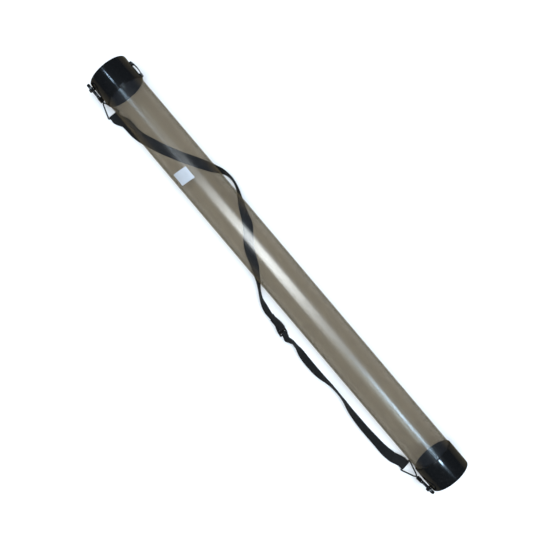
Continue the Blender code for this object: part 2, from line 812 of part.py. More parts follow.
def gate_thick():
    """The gate's thickness between the hook's two cheeks."""
    return HOOK_PLATE - 2 * (HOOK_CHEEK + FIT_GAP)


def hook_tools():
    """What is joined to the hook's plate and what is cut from it."""
    barrel_length = HOOK_BARREL_END - HOOK_BARREL_START
    barrel_middle = (HOOK_BARREL_START + HOOK_BARREL_END) / 2
    barrel = rod_mesh(
        "barrel", HOOK_BARREL_RADIUS, barrel_length, 24, "X", (barrel_middle, 0, 0)
    )
    bore = rod_mesh(
        "bore", SHANK_RADIUS + FIT_GAP, barrel_length * 2, 20, "X", (barrel_middle, 0, 0)
    )
    head_room = rod_mesh(
        "head_room",
        HEAD_RADIUS + FIT_GAP,
        HEAD_THICK + 2 * FIT_GAP,
        20,
        "X",
        (HOOK_BARREL_START - FIT_GAP - HEAD_THICK / 2, 0, 0),
    )
    gate_room = box_mesh(
        "gate_room",
        (GATE_ROOM, GATE_ROOM, gate_thick() + 2 * FIT_GAP),
        (HOOK_GATE_PIVOT + GATE_ROOM_PLACE[0], HOOK_GATE_SIDE + GATE_ROOM_PLACE[1], 0),
    )
    pin_hole = rod_mesh(
        "pin_hole",
        GATE_PIN_RADIUS + FIT_GAP,
        HOOK_PLATE * 2,
        12,
        "Z",
        (HOOK_GATE_PIVOT, HOOK_GATE_SIDE, 0),
    )
    return [
        ("barrel", barrel, "UNION"),
        ("bore", bore, "DIFFERENCE"),
        ("head_room", head_room, "DIFFERENCE"),
        ("gate_room", gate_room, "DIFFERENCE"),
        ("pin_hole", pin_hole, "DIFFERENCE"),
    ]


def make_hook(which):
    """One snap hook: body, gate, gate pin and swivel, hung in its eyelet."""
    holder = empty(which + "_hook_frame", hook_frame(which == "top"))
    plate = outline_mesh(
        which + "_hook_body", hook_outline(), HOOK_PLATE, bevel=HOOK_EDGE
    )
    body = add_piece(
        which + "_hook_body", plate, black_plastic(which + "_hook_body_black")
    )
    body.parent = holder
    for name, mesh, operation in hook_tools():
        tool = add_tool(which + "_" + name, mesh)
        tool.parent = holder
        boolean(body, tool, operation)
    gate = add_piece(
        which + "_hook_gate",
        outline_mesh(which + "_hook_gate", gate_outline(), gate_thick()),
        black_plastic(which + "_hook_gate_black"),
    )
    gate.parent = holder
    gate.location = (HOOK_GATE_PIVOT, HOOK_GATE_SIDE, 0.0)
    eye = add_tool(
        which + "_gate_eye",
        rod_mesh("gate_eye", GATE_PIN_RADIUS + FIT_GAP, HOOK_PLATE * 2, 12),
    )
    eye.parent = holder
    eye.location = gate.location
    boolean(gate, eye, "DIFFERENCE")
    make_gate_spring(which, holder, gate)
    pin = add_piece(
        which + "_gate_pin",
        rod_mesh(which + "_gate_pin", GATE_PIN_RADIUS, HOOK_PLATE, 12),
        dark_metal(which + "_gate_pin_metal"),
    )
    pin.parent = holder
    pin.location = gate.location
    make_swivel(which)


def make_gate_spring(which, holder, gate):
    """The coil on the gate's pin, and the room for it in the gate's hub."""
    half = coil_half_width(GATE_SPRING_WIRE, GATE_SPRING_TURNS)
    outer = GATE_PIN_RADIUS + FIT_GAP + GATE_SPRING_WIRE
    length = outer + FIT_GAP + 2 * GATE_HUB_RADIUS
    room = add_tool(
        which + "_gate_spring_room",
        box_mesh(
            "gate_spring_room",
            (length, 4 * GATE_HUB_RADIUS, 2 * half + FIT_GAP),
            (length / 2 - outer - FIT_GAP, 0.0, 0.0),
        ),
    )
    room.parent = holder
    room.location = gate.location
    boolean(gate, room, "DIFFERENCE")
    name = which + "_gate_spring"
    spring = add_piece(
        name,
        coil_mesh(name, GATE_SPRING_WIRE, GATE_SPRING_TURNS, GATE_PIN_RADIUS),
        dark_metal(name + "_steel"),
    )
    spring.parent = holder
    spring.location = gate.location


def loop_half_width():
    """Half the loop's width to the middle of its rod."""
    return STRAP_WIDTH / 2 + LOOP_SIDE_GAP + LOOP_ROD / 2


def make_swivel(which):
    """The swivel: riveted shank and the three-sided loop for the webbing."""
    holder = empty(which + "_swivel_frame", swivel_matrix(which == "top"))
    side = loop_half_width()
    bar = HOOK_BAR_PLACE
    neck = HOOK_BARREL_END + LOOP_NECK
    ring = [(neck, 0.0, 0.0)]
    ring += [(neck + along, 0.0, out) for along, out in LOOP_SHOULDER]
    ring.append((bar - 2.0 * LOOP_CORNER, 0.0, side * LOOP_FLARE))
    steps = 4
    for index in range(1, steps + 1):
        angle = math.pi / 2 * index / steps
        ring.append(
            (
                bar - LOOP_CORNER + LOOP_CORNER * math.sin(angle),
                0.0,
                side - LOOP_CORNER + LOOP_CORNER * math.cos(angle),
            )
        )
    other = [(x, y, -z) for x, y, z in reversed(ring[1:])]
    name = which + "_hook_swivel"
    curve = bpy.data.curves.new(name, "CURVE")
    curve.dimensions = "3D"
    curve.bevel_depth = LOOP_ROD / 2
    curve.bevel_resolution = 2
    line = curve.splines.new("POLY")
    loop_points = ring + other
    line.points.add(len(loop_points) - 1)
    for target, place in zip(line.points, loop_points):
        target.co = (*place, 1.0)
    line.use_cyclic_u = True
    loop = add_piece(name, curve_mesh(name, curve), dark_metal(name + "_metal"))
    loop.parent = holder
    head = HOOK_BARREL_START - FIT_GAP - HEAD_THICK
    profile = [
        (0.0, neck + 1.0 * MM),
        (SHANK_RADIUS, neck + 1.0 * MM),
        (SHANK_RADIUS, HOOK_BARREL_START - FIT_GAP),
        (HEAD_RADIUS, HOOK_BARREL_START - FIT_GAP),
        (HEAD_RADIUS, head + 0.8 * MM),
        (1.7 * MM, head),
        (0.0, head),
    ]
    shank = add_tool(name + "_shank", turned(name + "_shank", profile))
    screw(shank, 20)
    shank.parent = holder
    shank.rotation_euler = (0.0, math.pi / 2, 0.0)
    boolean(loop, shank, "UNION")


def make_label():
    """The blank paper label, curved to the tube's outside."""
    around = 8
    shape = bmesh.new()
    bmesh.ops.create_grid(shape, x_segments=around, y_segments=1, size=0.5)
    radius = TUBE_RADIUS + FIT_GAP + LABEL_THICK / 2
    first, last = (math.radians(value) for value in LABEL_ANGLES)
    for vert in shape.verts:
        share = vert.co.x + 0.5
        angle = first + (last - first) * share
        x = vert.co.y * LABEL_LENGTH - (share - 0.5) * LABEL_SKEW
        vert.co = (x, radius * math.cos(angle), radius * math.sin(angle))
    mesh = bpy.data.meshes.new("tube_label")
    bmesh.ops.recalc_face_normals(shape, faces=shape.faces)
    shape.to_mesh(mesh)
    shape.free()
    label = add_piece("tube_label", mesh, material("label_paper", (0.62, 0.66, 0.70), 0.5))
    label.location = (LABEL_CENTRE_X, AXIS_Y, AXIS_Z)
    wall = label.modifiers.new("paper", "SOLIDIFY")
    wall.thickness = LABEL_THICK
    wall.offset = 0.0


def width_way(heading, tilt_deg):
    """The webbing's width direction for a heading and a tilt, left edge up."""
    left = Vector((0.0, 0.0, 1.0)).cross(heading).normalized()
    up = heading.cross(left)
    tilt = math.radians(tilt_deg)
    return (left * math.cos(tilt) + up * math.sin(tilt)).normalized()


def resting_height(tilt_deg):
    """Height of the webbing's middle when its lower edge is at the floor."""
    tilt = math.radians(abs(tilt_deg))
    half = STRAP_WIDTH / 2 * math.sin(tilt) + STRAP_THICK / 2 * math.cos(tilt)
    return half + FLOOR_GAP


def route_point(point):
    """A route point's place in metres, with its lower edge at its lift."""
    x, y, lift, tilt_deg = point
    return Vector((x * MM, y * MM + AXIS_Y, lift * MM + resting_height(tilt_deg)))


def smooth_value(before, here, there, after, t):
    """A smooth value between two others, from the ones before and after."""
    return 0.5 * (
        2 * here
        + (there - before) * t
        + (2 * before - 5 * here + 4 * there - after) * t * t
        + (3 * here - before - 3 * there + after) * t * t * t
    )


def spline_through(rows):
    """A smooth curve through rows of numbers, with a point each step."""
    smooth = []
    last = len(rows) - 1
    for index in range(last):
        near = [rows[max(index - 1, 0)], rows[index], rows[index + 1]]
        near.append(rows[min(index + 2, last)])
        span = (Vector(near[2][:3]) - Vector(near[1][:3])).length
        pieces = max(1, round(span / STRAP_STEP))
        for piece in range(pieces):
            t = piece / pieces
            smooth.append([smooth_value(*values, t) for values in zip(*near)])
    smooth.append(list(rows[last]))
    return smooth


def free_run(route, ahead, behind):
    """Places and width directions along a route between two fixed places."""
    rows = [(*route_point(point), point[3]) for point in route]
    line = spline_through(rows)
    places = [
        Vector((row[0], row[1], max(row[2], resting_height(row[3])))) for row in line
    ]
    widths = []
    for index, row in enumerate(line):
        before = places[index - 1] if index else behind
        after = places[index + 1] if index + 1 < len(places) else ahead
        heading = (after - before).normalized()
        widths.append(width_way(heading, row[3]))
    return list(zip(places, widths))


def fold(bar_place, bar_way, run_way, bar_radius, back_side):
    """The webbing's turn round a bar, from the sewn-back layer to the run."""
    normal = run_way.cross(bar_way).normalized() * back_side
    wrap = bar_radius + BAR_WRAP
    near = 0.25 * wrap + 0.75 * LAYER_GAP / 2
    mid = 0.8 * wrap + 0.2 * LAYER_GAP / 2
    flat = [(FOLD_NECK * 0.65, near), (FOLD_NECK * 0.35, mid)]
    steps = 8
    for index in range(steps + 1):
        angle = math.pi / 2 + math.pi * index / steps
        flat.append((wrap * math.cos(angle), wrap * math.sin(angle)))
    flat += [
        (FOLD_NECK * 0.35, -mid),
        (FOLD_NECK * 0.65, -near),
        (FOLD_NECK, -LAYER_GAP / 2),
    ]
    return [
        (bar_place + run_way * along + normal * off, bar_way.copy()) for along, off in flat
    ]


def layer_over(under, reach, rise, hint):
    """A layer lying on the first stretch of other webbing, on the hint's side."""
    covered = 0.0
    layer = []
    index = 0
    while covered <= reach:
        place, width = under[index]
        ahead = under[index + 1][0]
        behind = under[max(index - 1, 0)][0]
        normal = (ahead - behind).cross(width).normalized()
        if normal.dot(hint) < 0:
            normal = -normal
        layer.append((place + normal * rise, width))
        covered += (ahead - place).length
        index += 1
    return layer


def ribbon(name, stations):
    """A strip of webbing through stations of place and width direction."""
    widths = [stations[0][1]]
    for _, width in stations[1:]:
        widths.append(width if width.dot(widths[-1]) > 0 else -width)
    last = len(stations) - 1
    shape = bmesh.new()
    bmesh.ops.create_grid(shape, x_segments=last, y_segments=1, size=0.5)
    for vert in shape.verts:
        index = round((vert.co.x + 0.5) * last)
        side = 1.0 if vert.co.y > 0 else -1.0
        place = stations[index][0]
        vert.co = place + widths[index] * (side * STRAP_WIDTH / 2)
    mesh = bpy.data.meshes.new(name)
    shape.to_mesh(mesh)
    shape.free()
    strip = add_piece(name, mesh, webbing(name + "_webbing"))
    wall = strip.modifiers.new("webbing", "SOLIDIFY")
    wall.thickness = STRAP_THICK
    wall.offset = 0.0


def slider_matrix():
    """The adjuster's frame: X along the strap, Y across it, Z its normal."""
    tilt = math.radians(abs(SLIDER_TILT))
    height = SLIDER_WIDTH / 2 * math.sin(tilt) + SLIDER_THICK / 2 * math.cos(tilt)
    heading_angle = math.radians(SLIDER_HEADING)
    heading = Vector((math.cos(heading_angle), math.sin(heading_angle), 0.0))
    across = width_way(heading, SLIDER_TILT)
    place = Vector(
        (SLIDER_CENTRE[0] * MM, SLIDER_CENTRE[1] * MM + AXIS_Y, height + FLOOR_GAP)
    )
    return frame_matrix(place, heading, heading.cross(across))


def slider_bar_offset():
    """Distance from the middle bar to an outer bar, along the strap."""
    return (SLIDER_LENGTH - SLIDER_BAR) / 2


def make_slider():
    """The strap's three-bar adjuster."""
    holder = empty("slider_frame", slider_matrix())
    mesh = box_mesh(
        "strap_slider", (SLIDER_LENGTH, SLIDER_WIDTH, SLIDER_THICK), bevel=SLIDER_CORNER
    )
    slider = add_piece("strap_slider", mesh, black_plastic("slider_black"))
    slider.parent = holder
    slot = slider_bar_offset() - SLIDER_BAR
    for side in (-1, 1):
        cut = add_tool(
            "slider_slot",
            box_mesh(
                "slider_slot",
                (slot, SLIDER_WIDTH - 2 * SLIDER_SIDE, SLIDER_THICK * 2),
                bevel=SLIDER_SLOT_CORNER,
            ),
        )
        cut.parent = holder
        cut.location = (side * slider_bar_offset() / 2, 0.0, 0.0)
        boolean(slider, cut, "DIFFERENCE")
    soft_edges = slider.modifiers.new("edges", "BEVEL")
    soft_edges.width = SLIDER_EDGE
    soft_edges.segments = 2
    soft_edges.limit_method = "ANGLE"
    soft_edges.angle_limit = math.radians(50.0)


def bar_direction(swivel):
    """The way a loop's bar lies, toward +Y."""
    way = (swivel.to_3x3() @ Vector((0.0, 0.0, 1.0))).normalized()
    return way if way.y > 0 else -way


def hook_fold(top, route_end):
    """The turn round a hook's bar, and the way up from the webbing there."""
    swivel = swivel_matrix(top)
    bar_place = swivel @ Vector((HOOK_BAR_PLACE, 0.0, 0.0))
    bar_way = bar_direction(swivel)
    toward = (route_point(route_end) - bar_place).normalized()
    run_way = (toward - bar_way * toward.dot(bar_way)).normalized()
    side = 1.0 if top else -1.0
    up_way = run_way.cross(bar_way).normalized() * side
    return fold(bar_place, bar_way, run_way, LOOP_ROD / 2, side), up_way


def slider_ways():
    """The adjuster's frame with its across and up directions."""
    slider = slider_matrix()
    turn = slider.to_3x3()
    across = (turn @ Vector((0.0, 1.0, 0.0))).normalized()
    up_way = (turn @ Vector((0.0, 0.0, 1.0))).normalized()
    return slider, across, up_way


def upper_parts():
    """The upper webbing's stations: top fold, run and fold at the adjuster."""
    start, top_up = hook_fold(True, UPPER_ROUTE[0])
    slider, across, slider_up = slider_ways()
    near_bar = slider @ Vector((-slider_bar_offset(), 0.0, 0.0))
    back_way = across.cross(slider_up).normalized() * -1.0
    finish = fold(near_bar, across, back_way, SLIDER_BAR / 2 + SLIDER_EDGE / 2, 1.0)
    finish.reverse()
    run = free_run(UPPER_ROUTE, finish[0][0], start[-1][0])
    return start, run, finish, top_up, slider_up


def make_upper_strap():
    """The webbing from the top hook's bar to the adjuster's near bar."""
    start, run, finish, top_up, slider_up = upper_parts()
    reach = FOLD_BACK - FOLD_NECK
    first = layer_over(start[-1:] + run, reach, LAYER_GAP, top_up)
    first.reverse()
    main_back = [finish[0]] + list(reversed(run))
    last = layer_over(main_back, reach, LAYER_GAP, -slider_up)
    ribbon("strap_upper", first + start + run + finish + last)


def make_lower_strap():
    """The webbing from its free tail through the adjuster to the bottom hook."""
    slider, across, slider_up = slider_ways()
    offset = slider_bar_offset() / MM
    over = (SLIDER_THICK / 2 + FIT_GAP + STRAP_THICK / 2) / MM
    tail_rise = over + (STRAP_THICK + 2.0 * FIT_GAP) / MM
    near_slot = -SLIDER_BAR / 2 / MM - THREAD_NEAR
    far_slot = SLIDER_BAR / 2 / MM + THREAD_FAR
    flat = [
        (-offset - 1.0, tail_rise),
        (-offset + 1.0, tail_rise),
        (near_slot - 1.6, tail_rise - 0.1),
        (near_slot - 0.7, tail_rise - 0.6),
        (near_slot - 0.1, tail_rise - 1.6),
        (near_slot, over - 1.6),
        (near_slot, -over + 1.3),
        (near_slot + 0.35, -over + 0.4),
        (near_slot + 1.1, -over),
        (far_slot - 1.5, -over),
        (far_slot - 0.6, -over + 0.4),
        (far_slot, -over + 1.4),
        (far_slot + 0.1, over - 1.4),
        (far_slot + 0.6, over - 0.4),
        (far_slot + 1.5, over),
        (offset + 1.0, over),
        (offset + 3.4, over - 0.7),
        (offset + 7.0, 0.6),
        (offset + 11.0, 0.1),
    ]
    _, upper_run, upper_fold, _, _ = upper_parts()
    upper_back = list(reversed(upper_fold[:2])) + list(reversed(upper_run))
    rise = STRAP_THICK + 2.0 * FIT_GAP
    start = layer_over(upper_back, TAIL_LENGTH, rise, slider_up)
    start.reverse()
    start += [
        (slider @ Vector((along * MM, 0.0, up * MM)), across.copy()) for along, up in flat
    ]
    finish, up_way = hook_fold(False, LOWER_ROUTE[-1])
    finish.reverse()
    run = free_run(LOWER_ROUTE, finish[0][0], start[-1][0])
    main_back = [finish[0]] + list(reversed(run))
    last = layer_over(main_back, FOLD_BACK - FOLD_NECK, LAYER_GAP, up_way)
    ribbon("strap_lower", start + run + finish + last)


def main():
    start_scene()
    make_tube()
    make_mouth_collar()
    make_end_cap()
    make_catch()
    make_catch_spring()
    make_label()
    for which in ("top", "bottom"):
        make_hook(which)
    make_slider()
    make_upper_strap()
    make_lower_strap()


main()
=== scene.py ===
"""Finished look of the tennis ball holder, laid out as an add-on and run as a script.

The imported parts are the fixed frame: X along the tube towards its closed end,
Z up from the floor. Lengths are metres; MM turns millimetres into metres.
"""

import math

import bmesh
import bpy
from bpy.props import FloatProperty, FloatVectorProperty, PointerProperty
from bpy.types import NodeSocket, Operator, Panel, PropertyGroup
from mathutils import Matrix, Vector


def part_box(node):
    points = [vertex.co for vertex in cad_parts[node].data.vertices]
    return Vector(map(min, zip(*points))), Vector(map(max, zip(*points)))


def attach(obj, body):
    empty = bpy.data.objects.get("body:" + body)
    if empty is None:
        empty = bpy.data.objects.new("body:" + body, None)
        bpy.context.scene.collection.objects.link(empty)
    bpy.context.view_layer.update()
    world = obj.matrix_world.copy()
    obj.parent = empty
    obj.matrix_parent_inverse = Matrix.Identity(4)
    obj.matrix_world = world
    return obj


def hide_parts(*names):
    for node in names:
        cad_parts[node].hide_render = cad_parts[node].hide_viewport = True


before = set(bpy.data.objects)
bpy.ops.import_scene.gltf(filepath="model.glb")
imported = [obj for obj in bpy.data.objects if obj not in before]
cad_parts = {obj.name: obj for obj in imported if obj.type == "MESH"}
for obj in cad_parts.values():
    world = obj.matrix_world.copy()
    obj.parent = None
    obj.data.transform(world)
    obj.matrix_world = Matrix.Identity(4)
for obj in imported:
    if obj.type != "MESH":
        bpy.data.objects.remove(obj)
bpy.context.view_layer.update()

bl_info = {
    "name": "Tennis ball holder",
    "version": (1, 0, 0),
    "blender": (4, 5, 0),
    "location": "3D View > Sidebar > Ball Holder",
    "description": "Builds a clear ball tube with its black ends, strap and hooks",
    "category": "Object",
}

MM = 0.001
X_WAY = Vector((1.0, 0.0, 0.0))
Y_WAY = Vector((0.0, 1.0, 0.0))
Z_WAY = Vector((0.0, 0.0, 1.0))

# The two ends of the tube: the open mouth at -X and the closed end at +X
MOUTH, CLOSED = -1.0, 1.0

# Tube, collar and cap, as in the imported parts
TUBE_RADIUS = 37.5 * MM
TUBE_BORE = 36.0 * MM
TUBE_HALF = 470.0 * MM
TUBE_EDGE = 0.25 * MM
COLLAR_INNER = 37.8 * MM
COLLAR_RADIUS = 39.5 * MM
COLLAR_LENGTH = 49.0 * MM
COLLAR_LEAD = 0.3 * MM
HALF_LENGTH = 473.0 * MM
END_WALL = 2.7 * MM
MOUTH_BORE = 35.0 * MM
MOUTH_ROUND = 1.6 * MM
EDGE_ROUND = 1.1 * MM
FIT_GAP = 0.3 * MM
ROUND_STEPS = 160
ROD_STEPS = 48
CORNER_STEPS = 6

# The tube's middle line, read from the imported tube
TUBE_LOW, TUBE_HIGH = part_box("tube")
AXIS_Y = (TUBE_LOW.y + TUBE_HIGH.y) / 2
AXIS_Z = (TUBE_LOW.z + TUBE_HIGH.z) / 2

# Strap eyelets on both ends; the angle is up from the -Y side
EYELET_HOLE = 7.0 * MM
EYELET_RIM = 2.1 * MM
EYELET_THICK = 2.6 * MM
EYELET_SLOT = 8.828 * MM
EYELET_CORNER = 3.0 * MM
EYELET_SLOT_CORNER = 0.9 * MM
EYELET_ROOT = 1.0 * MM
EYELET_STEP = 0.25 * MM
EYELET_FROM_END = 8.0 * MM
EYELET_ANGLE = math.radians(4.0)
EYELET_OUT = Vector((0.0, -math.cos(EYELET_ANGLE), math.sin(EYELET_ANGLE)))
EYELET_UP = Vector((0.0, math.sin(EYELET_ANGLE), math.cos(EYELET_ANGLE)))

# Ball catch, its ears and the window for its nose
CATCH_WIDTH = 9.6 * MM
CATCH_LENGTH = 29.0 * MM
CATCH_PIVOT = Vector((-429.2 * MM, 43.888 * MM, 39.452 * MM))
PIN_RADIUS = 0.8 * MM
EAR_THICK = 1.8 * MM
EAR_RADIUS = 1.9 * MM
EAR_ROOT = 1.2 * MM
EAR_SPREAD = 1.35
WINDOW_AHEAD = 9.0 * MM
WINDOW_BEHIND = 4.6 * MM
WINDOW_DEPTH = 14.0 * MM
WINDOW_PLAY = 1.2 * MM

# Hooks; each bar's place is y from the tube's middle line and z
HOOK_BEND = 6.5 * MM
HOOK_SPINE_IN_EYELET = 6.5 * MM
HOOK_BAR_PLACE = 66.5 * MM
HOOK_BARS = {MOUTH: (-43.6 * MM, 6.5 * MM), CLOSED: (-50.0 * MM, 6.5 * MM)}
LOOP_ROD = 2.6 * MM

# Webbing and adjuster
STRAP_WIDTH = 19.0 * MM
STRAP_THICK = 1.2 * MM
STRAP_STEP = 6.5 * MM
SECTION_COLUMNS = 13
SECTION_EDGE = 0.42
SECTION_CROWN = 0.5
SECTION_POWER = 9
SECTION_SPAN = 0.995
FLOOR_GAP = 0.1 * MM
FOLD_NECK = 10.0 * MM
FOLD_STEPS = 8
SEWN_REACH = 26.0 * MM - FOLD_NECK
TAIL_LENGTH = 30.0 * MM
BAR_WRAP = FIT_GAP + STRAP_THICK / 2
LAYER_GAP = STRAP_THICK + 1.4 * FIT_GAP
SLIDER_LENGTH = 14.8 * MM
SLIDER_WIDTH = 26.8 * MM
SLIDER_THICK = 2.4 * MM
SLIDER_BAR = 2.4 * MM
SLIDER_EDGE = 0.6 * MM
SLIDER_CENTRE = (84.0, -63.5)
SLIDER_HEADING = -8.0
SLIDER_TILT = -58.0

# Route of the strap: x and y from the tube's middle line and height of the
# lower edge, in millimetres, then tilt in degrees with the left edge up
UPPER_ROUTE = [
    (-393, -36.2, 3.0, -6), (-381, -35.4, 1.4, -10), (-368, -34.8, 0.3, -10),
    (-354, -31.8, 0.0, -4), (-341, -26.8, 0.0, 0), (-326, -20.8, 0.0, 0),
    (-311, -14.4, 0.0, 0), (-296, -6.8, 0.0, 0), (-281, 1.0, 0.0, 0),
    (-266, 9.8, 0.0, 2), (-252, 17.6, 0.0, 12), (-239, 25.0, 0.0, 28),
    (-226, 32.2, 0.0, 42), (-213, 40.2, 0.0, 62), (-201, 44.8, 0.0, 75),
    (-189, 46.4, 0.0, 79), (-176, 44.8, 0.0, 78), (-163, 40.4, 0.0, 72),
    (-150, 33.8, 0.0, 61), (-136, 26.8, 0.0, 48), (-121, 20.8, 0.0, 36),
    (-107, 14.8, 0.0, 14), (-94, 5.4, 0.0, 2), (-81, -4.6, 0.0, 0),
    (-68, -12.6, 0.0, -14), (-54, -18.8, 0.0, -28), (-40, -24.4, 0.0, -40),
    (-27, -31.2, 0.0, -54), (-13, -38.4, 0.0, -68), (1, -47.2, 0.0, -77),
    (15, -54.6, 0.0, -73), (28, -58.6, 0.0, -60), (41, -61.0, 0.3, -58),
    (55, -61.6, 1.2, -68),
]
LOWER_ROUTE = [
    (112, -61.6, 1.0, -72), (123, -61.6, 0.0, -72), (135, -62.8, 0.0, -54),
    (150, -64.0, 0.0, -46), (166, -64.2, 0.0, -47), (181, -63.8, 0.0, -50),
    (194, -62.6, 0.0, -58), (206, -60.6, 0.0, -70), (219, -59.0, 0.0, -77),
    (232, -58.6, 0.0, -80), (246, -58.8, 0.0, -80), (259, -60.0, 0.0, -72),
    (272, -61.8, 0.0, -63), (286, -62.8, 0.0, -56), (301, -63.4, 0.0, -50),
    (317, -63.6, 0.0, -47), (333, -63.2, 0.0, -45), (349, -62.6, 0.0, -41),
    (364, -62.2, 0.3, -34), (379, -60.8, 1.2, -24), (393, -57.8, 2.6, -10),
]

# Seams: a box with a cross, this far inside the ends and edges of a layer
SEAM_START = 1.6 * MM
SEAM_STOP = 1.4 * MM
SEAM_INSET = 3.0 * MM
SEAM_STEPS = 16
SEAM_SINK = 0.95
STITCH_SHARE = 0.42
STITCH_WIDTH = 0.24 * MM
STITCH_HEIGHT = 0.2 * MM

# Label on the tube; its angles are in degrees up from the +Y side
LABEL_LENGTH = 25.0 * MM
LABEL_THICK = 0.25 * MM
LABEL_CENTRE_X = -236.5 * MM
LABEL_ANGLES = (96.0, 142.0)
LABEL_SKEW = 5.0 * MM
LABEL_RIPPLE = 0.05 * MM
LABEL_WAVES = (19.0, 7.0)
LABEL_CORNER = 0.8
LABEL_CORNER_LIFT = 0.35 * MM * 8.0

# View of the photograph, straight down on the tube
VIEW_HEIGHT = 1.2895
VIEW_CENTRE = (-2.6 * MM, -5.1 * MM)
VIEW_RIGHT = Vector((0.6455, 0.7638, 0.0))
VIEW_LENS = 45.8

# Lamps: name, place, target, size, power and colour
WHITE = (0.80, 0.90, 1.0)
BLUE = (0.54, 0.77, 1.0)
LAMPS = [
    ("long_lamp", (-0.12, 0.04, 2.6), (-0.05, 0.0, 0.0), (0.52, 2.0), 50.0, WHITE),
    ("strip_lamp", (0.1, 0.10, 2.7), (0.0, 0.0, 0.0), (1.8, 3.0), 14.0, WHITE),
    ("far_lamp", (1.02, 0.40, 2.6), (0.34, 0.0, 0.0), (0.16, 0.30), 16.0, BLUE),
    ("cap_lamp", (1.44, 0.56, 2.6), (0.45, 0.0, 0.0), (0.6, 0.12), 0.6, BLUE),
    ("mouth_lamp", (-1.42, -0.66, 2.6), (-0.45, 0.0, 0.0), (0.42, 0.04), 6.5, BLUE),
]

# What settings of one kind share
COLOUR = {"subtype": "COLOR", "size": 3, "min": 0.0, "max": 1.0}
SHARE = {"subtype": "FACTOR", "min": 0.0, "max": 1.0}
LENGTH = {"unit": "LENGTH", "subtype": "DISTANCE"}


class TubeLook(PropertyGroup):
    """Colour and clearness of the tube."""

    tint: FloatVectorProperty(
        name="Tint",
        description="Colour that one face of the wall gives to what is seen through it",
        default=(0.996, 0.964, 0.907), **COLOUR,
    )
    smoke: FloatVectorProperty(
        name="Smoke", description="Colour of the haze in the plastic itself",
        default=(0.018, 0.022, 0.029), **COLOUR,
    )
    # Painted shade: the edge colour and edge body darken the edge-on sides more than
    # the longer path through the wall would, so that the lighter middle stands in for
    # the broad glow round the highlight
    edge: FloatVectorProperty(
        name="Edge colour",
        description="Colour of the haze where the wall is seen edge on",
        default=(0.098, 0.058, 0.008), **COLOUR,
    )
    body: FloatProperty(
        name="Body",
        description="How much each face of the wall hides, looking straight through it",
        default=0.206, **SHARE,
    )
    edge_body: FloatProperty(
        name="Edge body",
        description="How much more the wall hides where it is seen edge on",
        default=0.6, **SHARE,
    )
    roughness: FloatProperty(
        name="Roughness", description="Blur of the reflections on the tube",
        default=0.22, **SHARE,
    )


class PlasticLook(PropertyGroup):
    """Colour and gloss of the black moulded parts."""

    colour: FloatVectorProperty(
        name="Colour", description="Colour of the black plastic",
        default=(0.004, 0.0045, 0.005), **COLOUR,
    )
    roughness: FloatProperty(
        name="Roughness", description="Blur of the reflections on the moulded ends",
        default=0.15, **SHARE,
    )
    edge: FloatProperty(
        name="Edge radius", description="Rounding of the small moulded edges",
        default=0.25 * MM, min=0.0, max=0.001, **LENGTH,
    )


class WebbingLook(PropertyGroup):
    """Weave and colour of the strap."""

    colour: FloatVectorProperty(
        name="Colour", description="Colour of the yarn",
        default=(0.0062, 0.0063, 0.0068), **COLOUR,
    )
    rib_pitch: FloatProperty(
        name="Rib pitch", description="Distance between the cross ribs of the weave",
        default=1.5 * MM, min=0.0005, max=0.005, **LENGTH,
    )
    rib_height: FloatProperty(
        name="Rib height", description="Height of a rib above the middle of the weave",
        default=0.07 * MM, min=0.0, max=0.0005, **LENGTH,
    )
    stitch: FloatProperty(
        name="Stitch length", description="Distance from one stitch to the next",
        default=2.2 * MM, min=0.001, max=0.006, **LENGTH,
    )


class StageLook(PropertyGroup):
    """Floor and light of the stage."""

    floor: FloatVectorProperty(
        name="Floor", description="Colour of the plain floor",
        default=(0.86, 0.86, 0.86), **COLOUR,
    )
    light: FloatProperty(
        name="Light", description="Strength of the lamps against their own settings",
        default=1.0, min=0.0, max=4.0,
    )


class HolderLook(PropertyGroup):
    """All the sizes and colours that a user may change."""

    tube: PointerProperty(
        type=TubeLook, name="Tube", description="Look of the clear tube"
    )
    plastic: PointerProperty(
        type=PlasticLook, name="Plastic", description="Look of the moulded parts"
    )
    webbing: PointerProperty(
        type=WebbingLook, name="Webbing", description="Look of the strap"
    )
    stage: PointerProperty(
        type=StageLook, name="Stage", description="Look of the floor and lights"
    )


def look():
    """The scene's settings for this object."""
    return bpy.context.scene.holder_look


# Nodes

NODE_STEP = 180.0
NODE_ROOM = 16
NODE_LEVELS = 3


def named(values):
    """Keyword values under the names of sockets, with spaces."""
    return {name.replace("_", " "): value for name, value in values.items()}


def feed(tree, node, inputs):
    """Link a node's inputs, by name or number, to sockets, or set them."""
    for key, value in inputs.items():
        socket = node.inputs[key]
        if isinstance(value, NodeSocket):
            tree.links.new(value, socket)
        elif socket.type == "RGBA":
            socket.default_value = (*value, 1.0)
        else:
            socket.default_value = value


def add_node(tree, kind, inputs=None, **settings):
    """A node with its settings and inputs, to the right of those before it."""
    node = tree.nodes.new(kind)
    count = len(tree.nodes)
    node.location = (
        NODE_STEP * (count - NODE_ROOM), -NODE_STEP * (count % NODE_LEVELS),
    )
    for name, value in settings.items():
        setattr(node, name, value)
    feed(tree, node, inputs or {})
    return node


def result(tree, kind, inputs=None, **settings):
    """The first output of a new node."""
    return add_node(tree, kind, inputs, **settings).outputs[0]


def maths(tree, operation, *values):
    """What a Math node makes of sockets and numbers."""
    return result(tree, "ShaderNodeMath", dict(enumerate(values)), operation=operation)


def wave(tree, turns):
    """A wave from -1 to 1, with a crest at each whole number of turns."""
    return maths(tree, "COSINE", maths(tree, "MULTIPLY", turns, math.tau))


def noise(tree, place, scale, detail=2.0, roughness=0.5):
    """Soft noise from 0 to 1."""
    inputs = {"Vector": place, "Scale": scale, "Detail": detail, "Roughness": roughness}
    return result(tree, "ShaderNodeTexNoise", inputs)


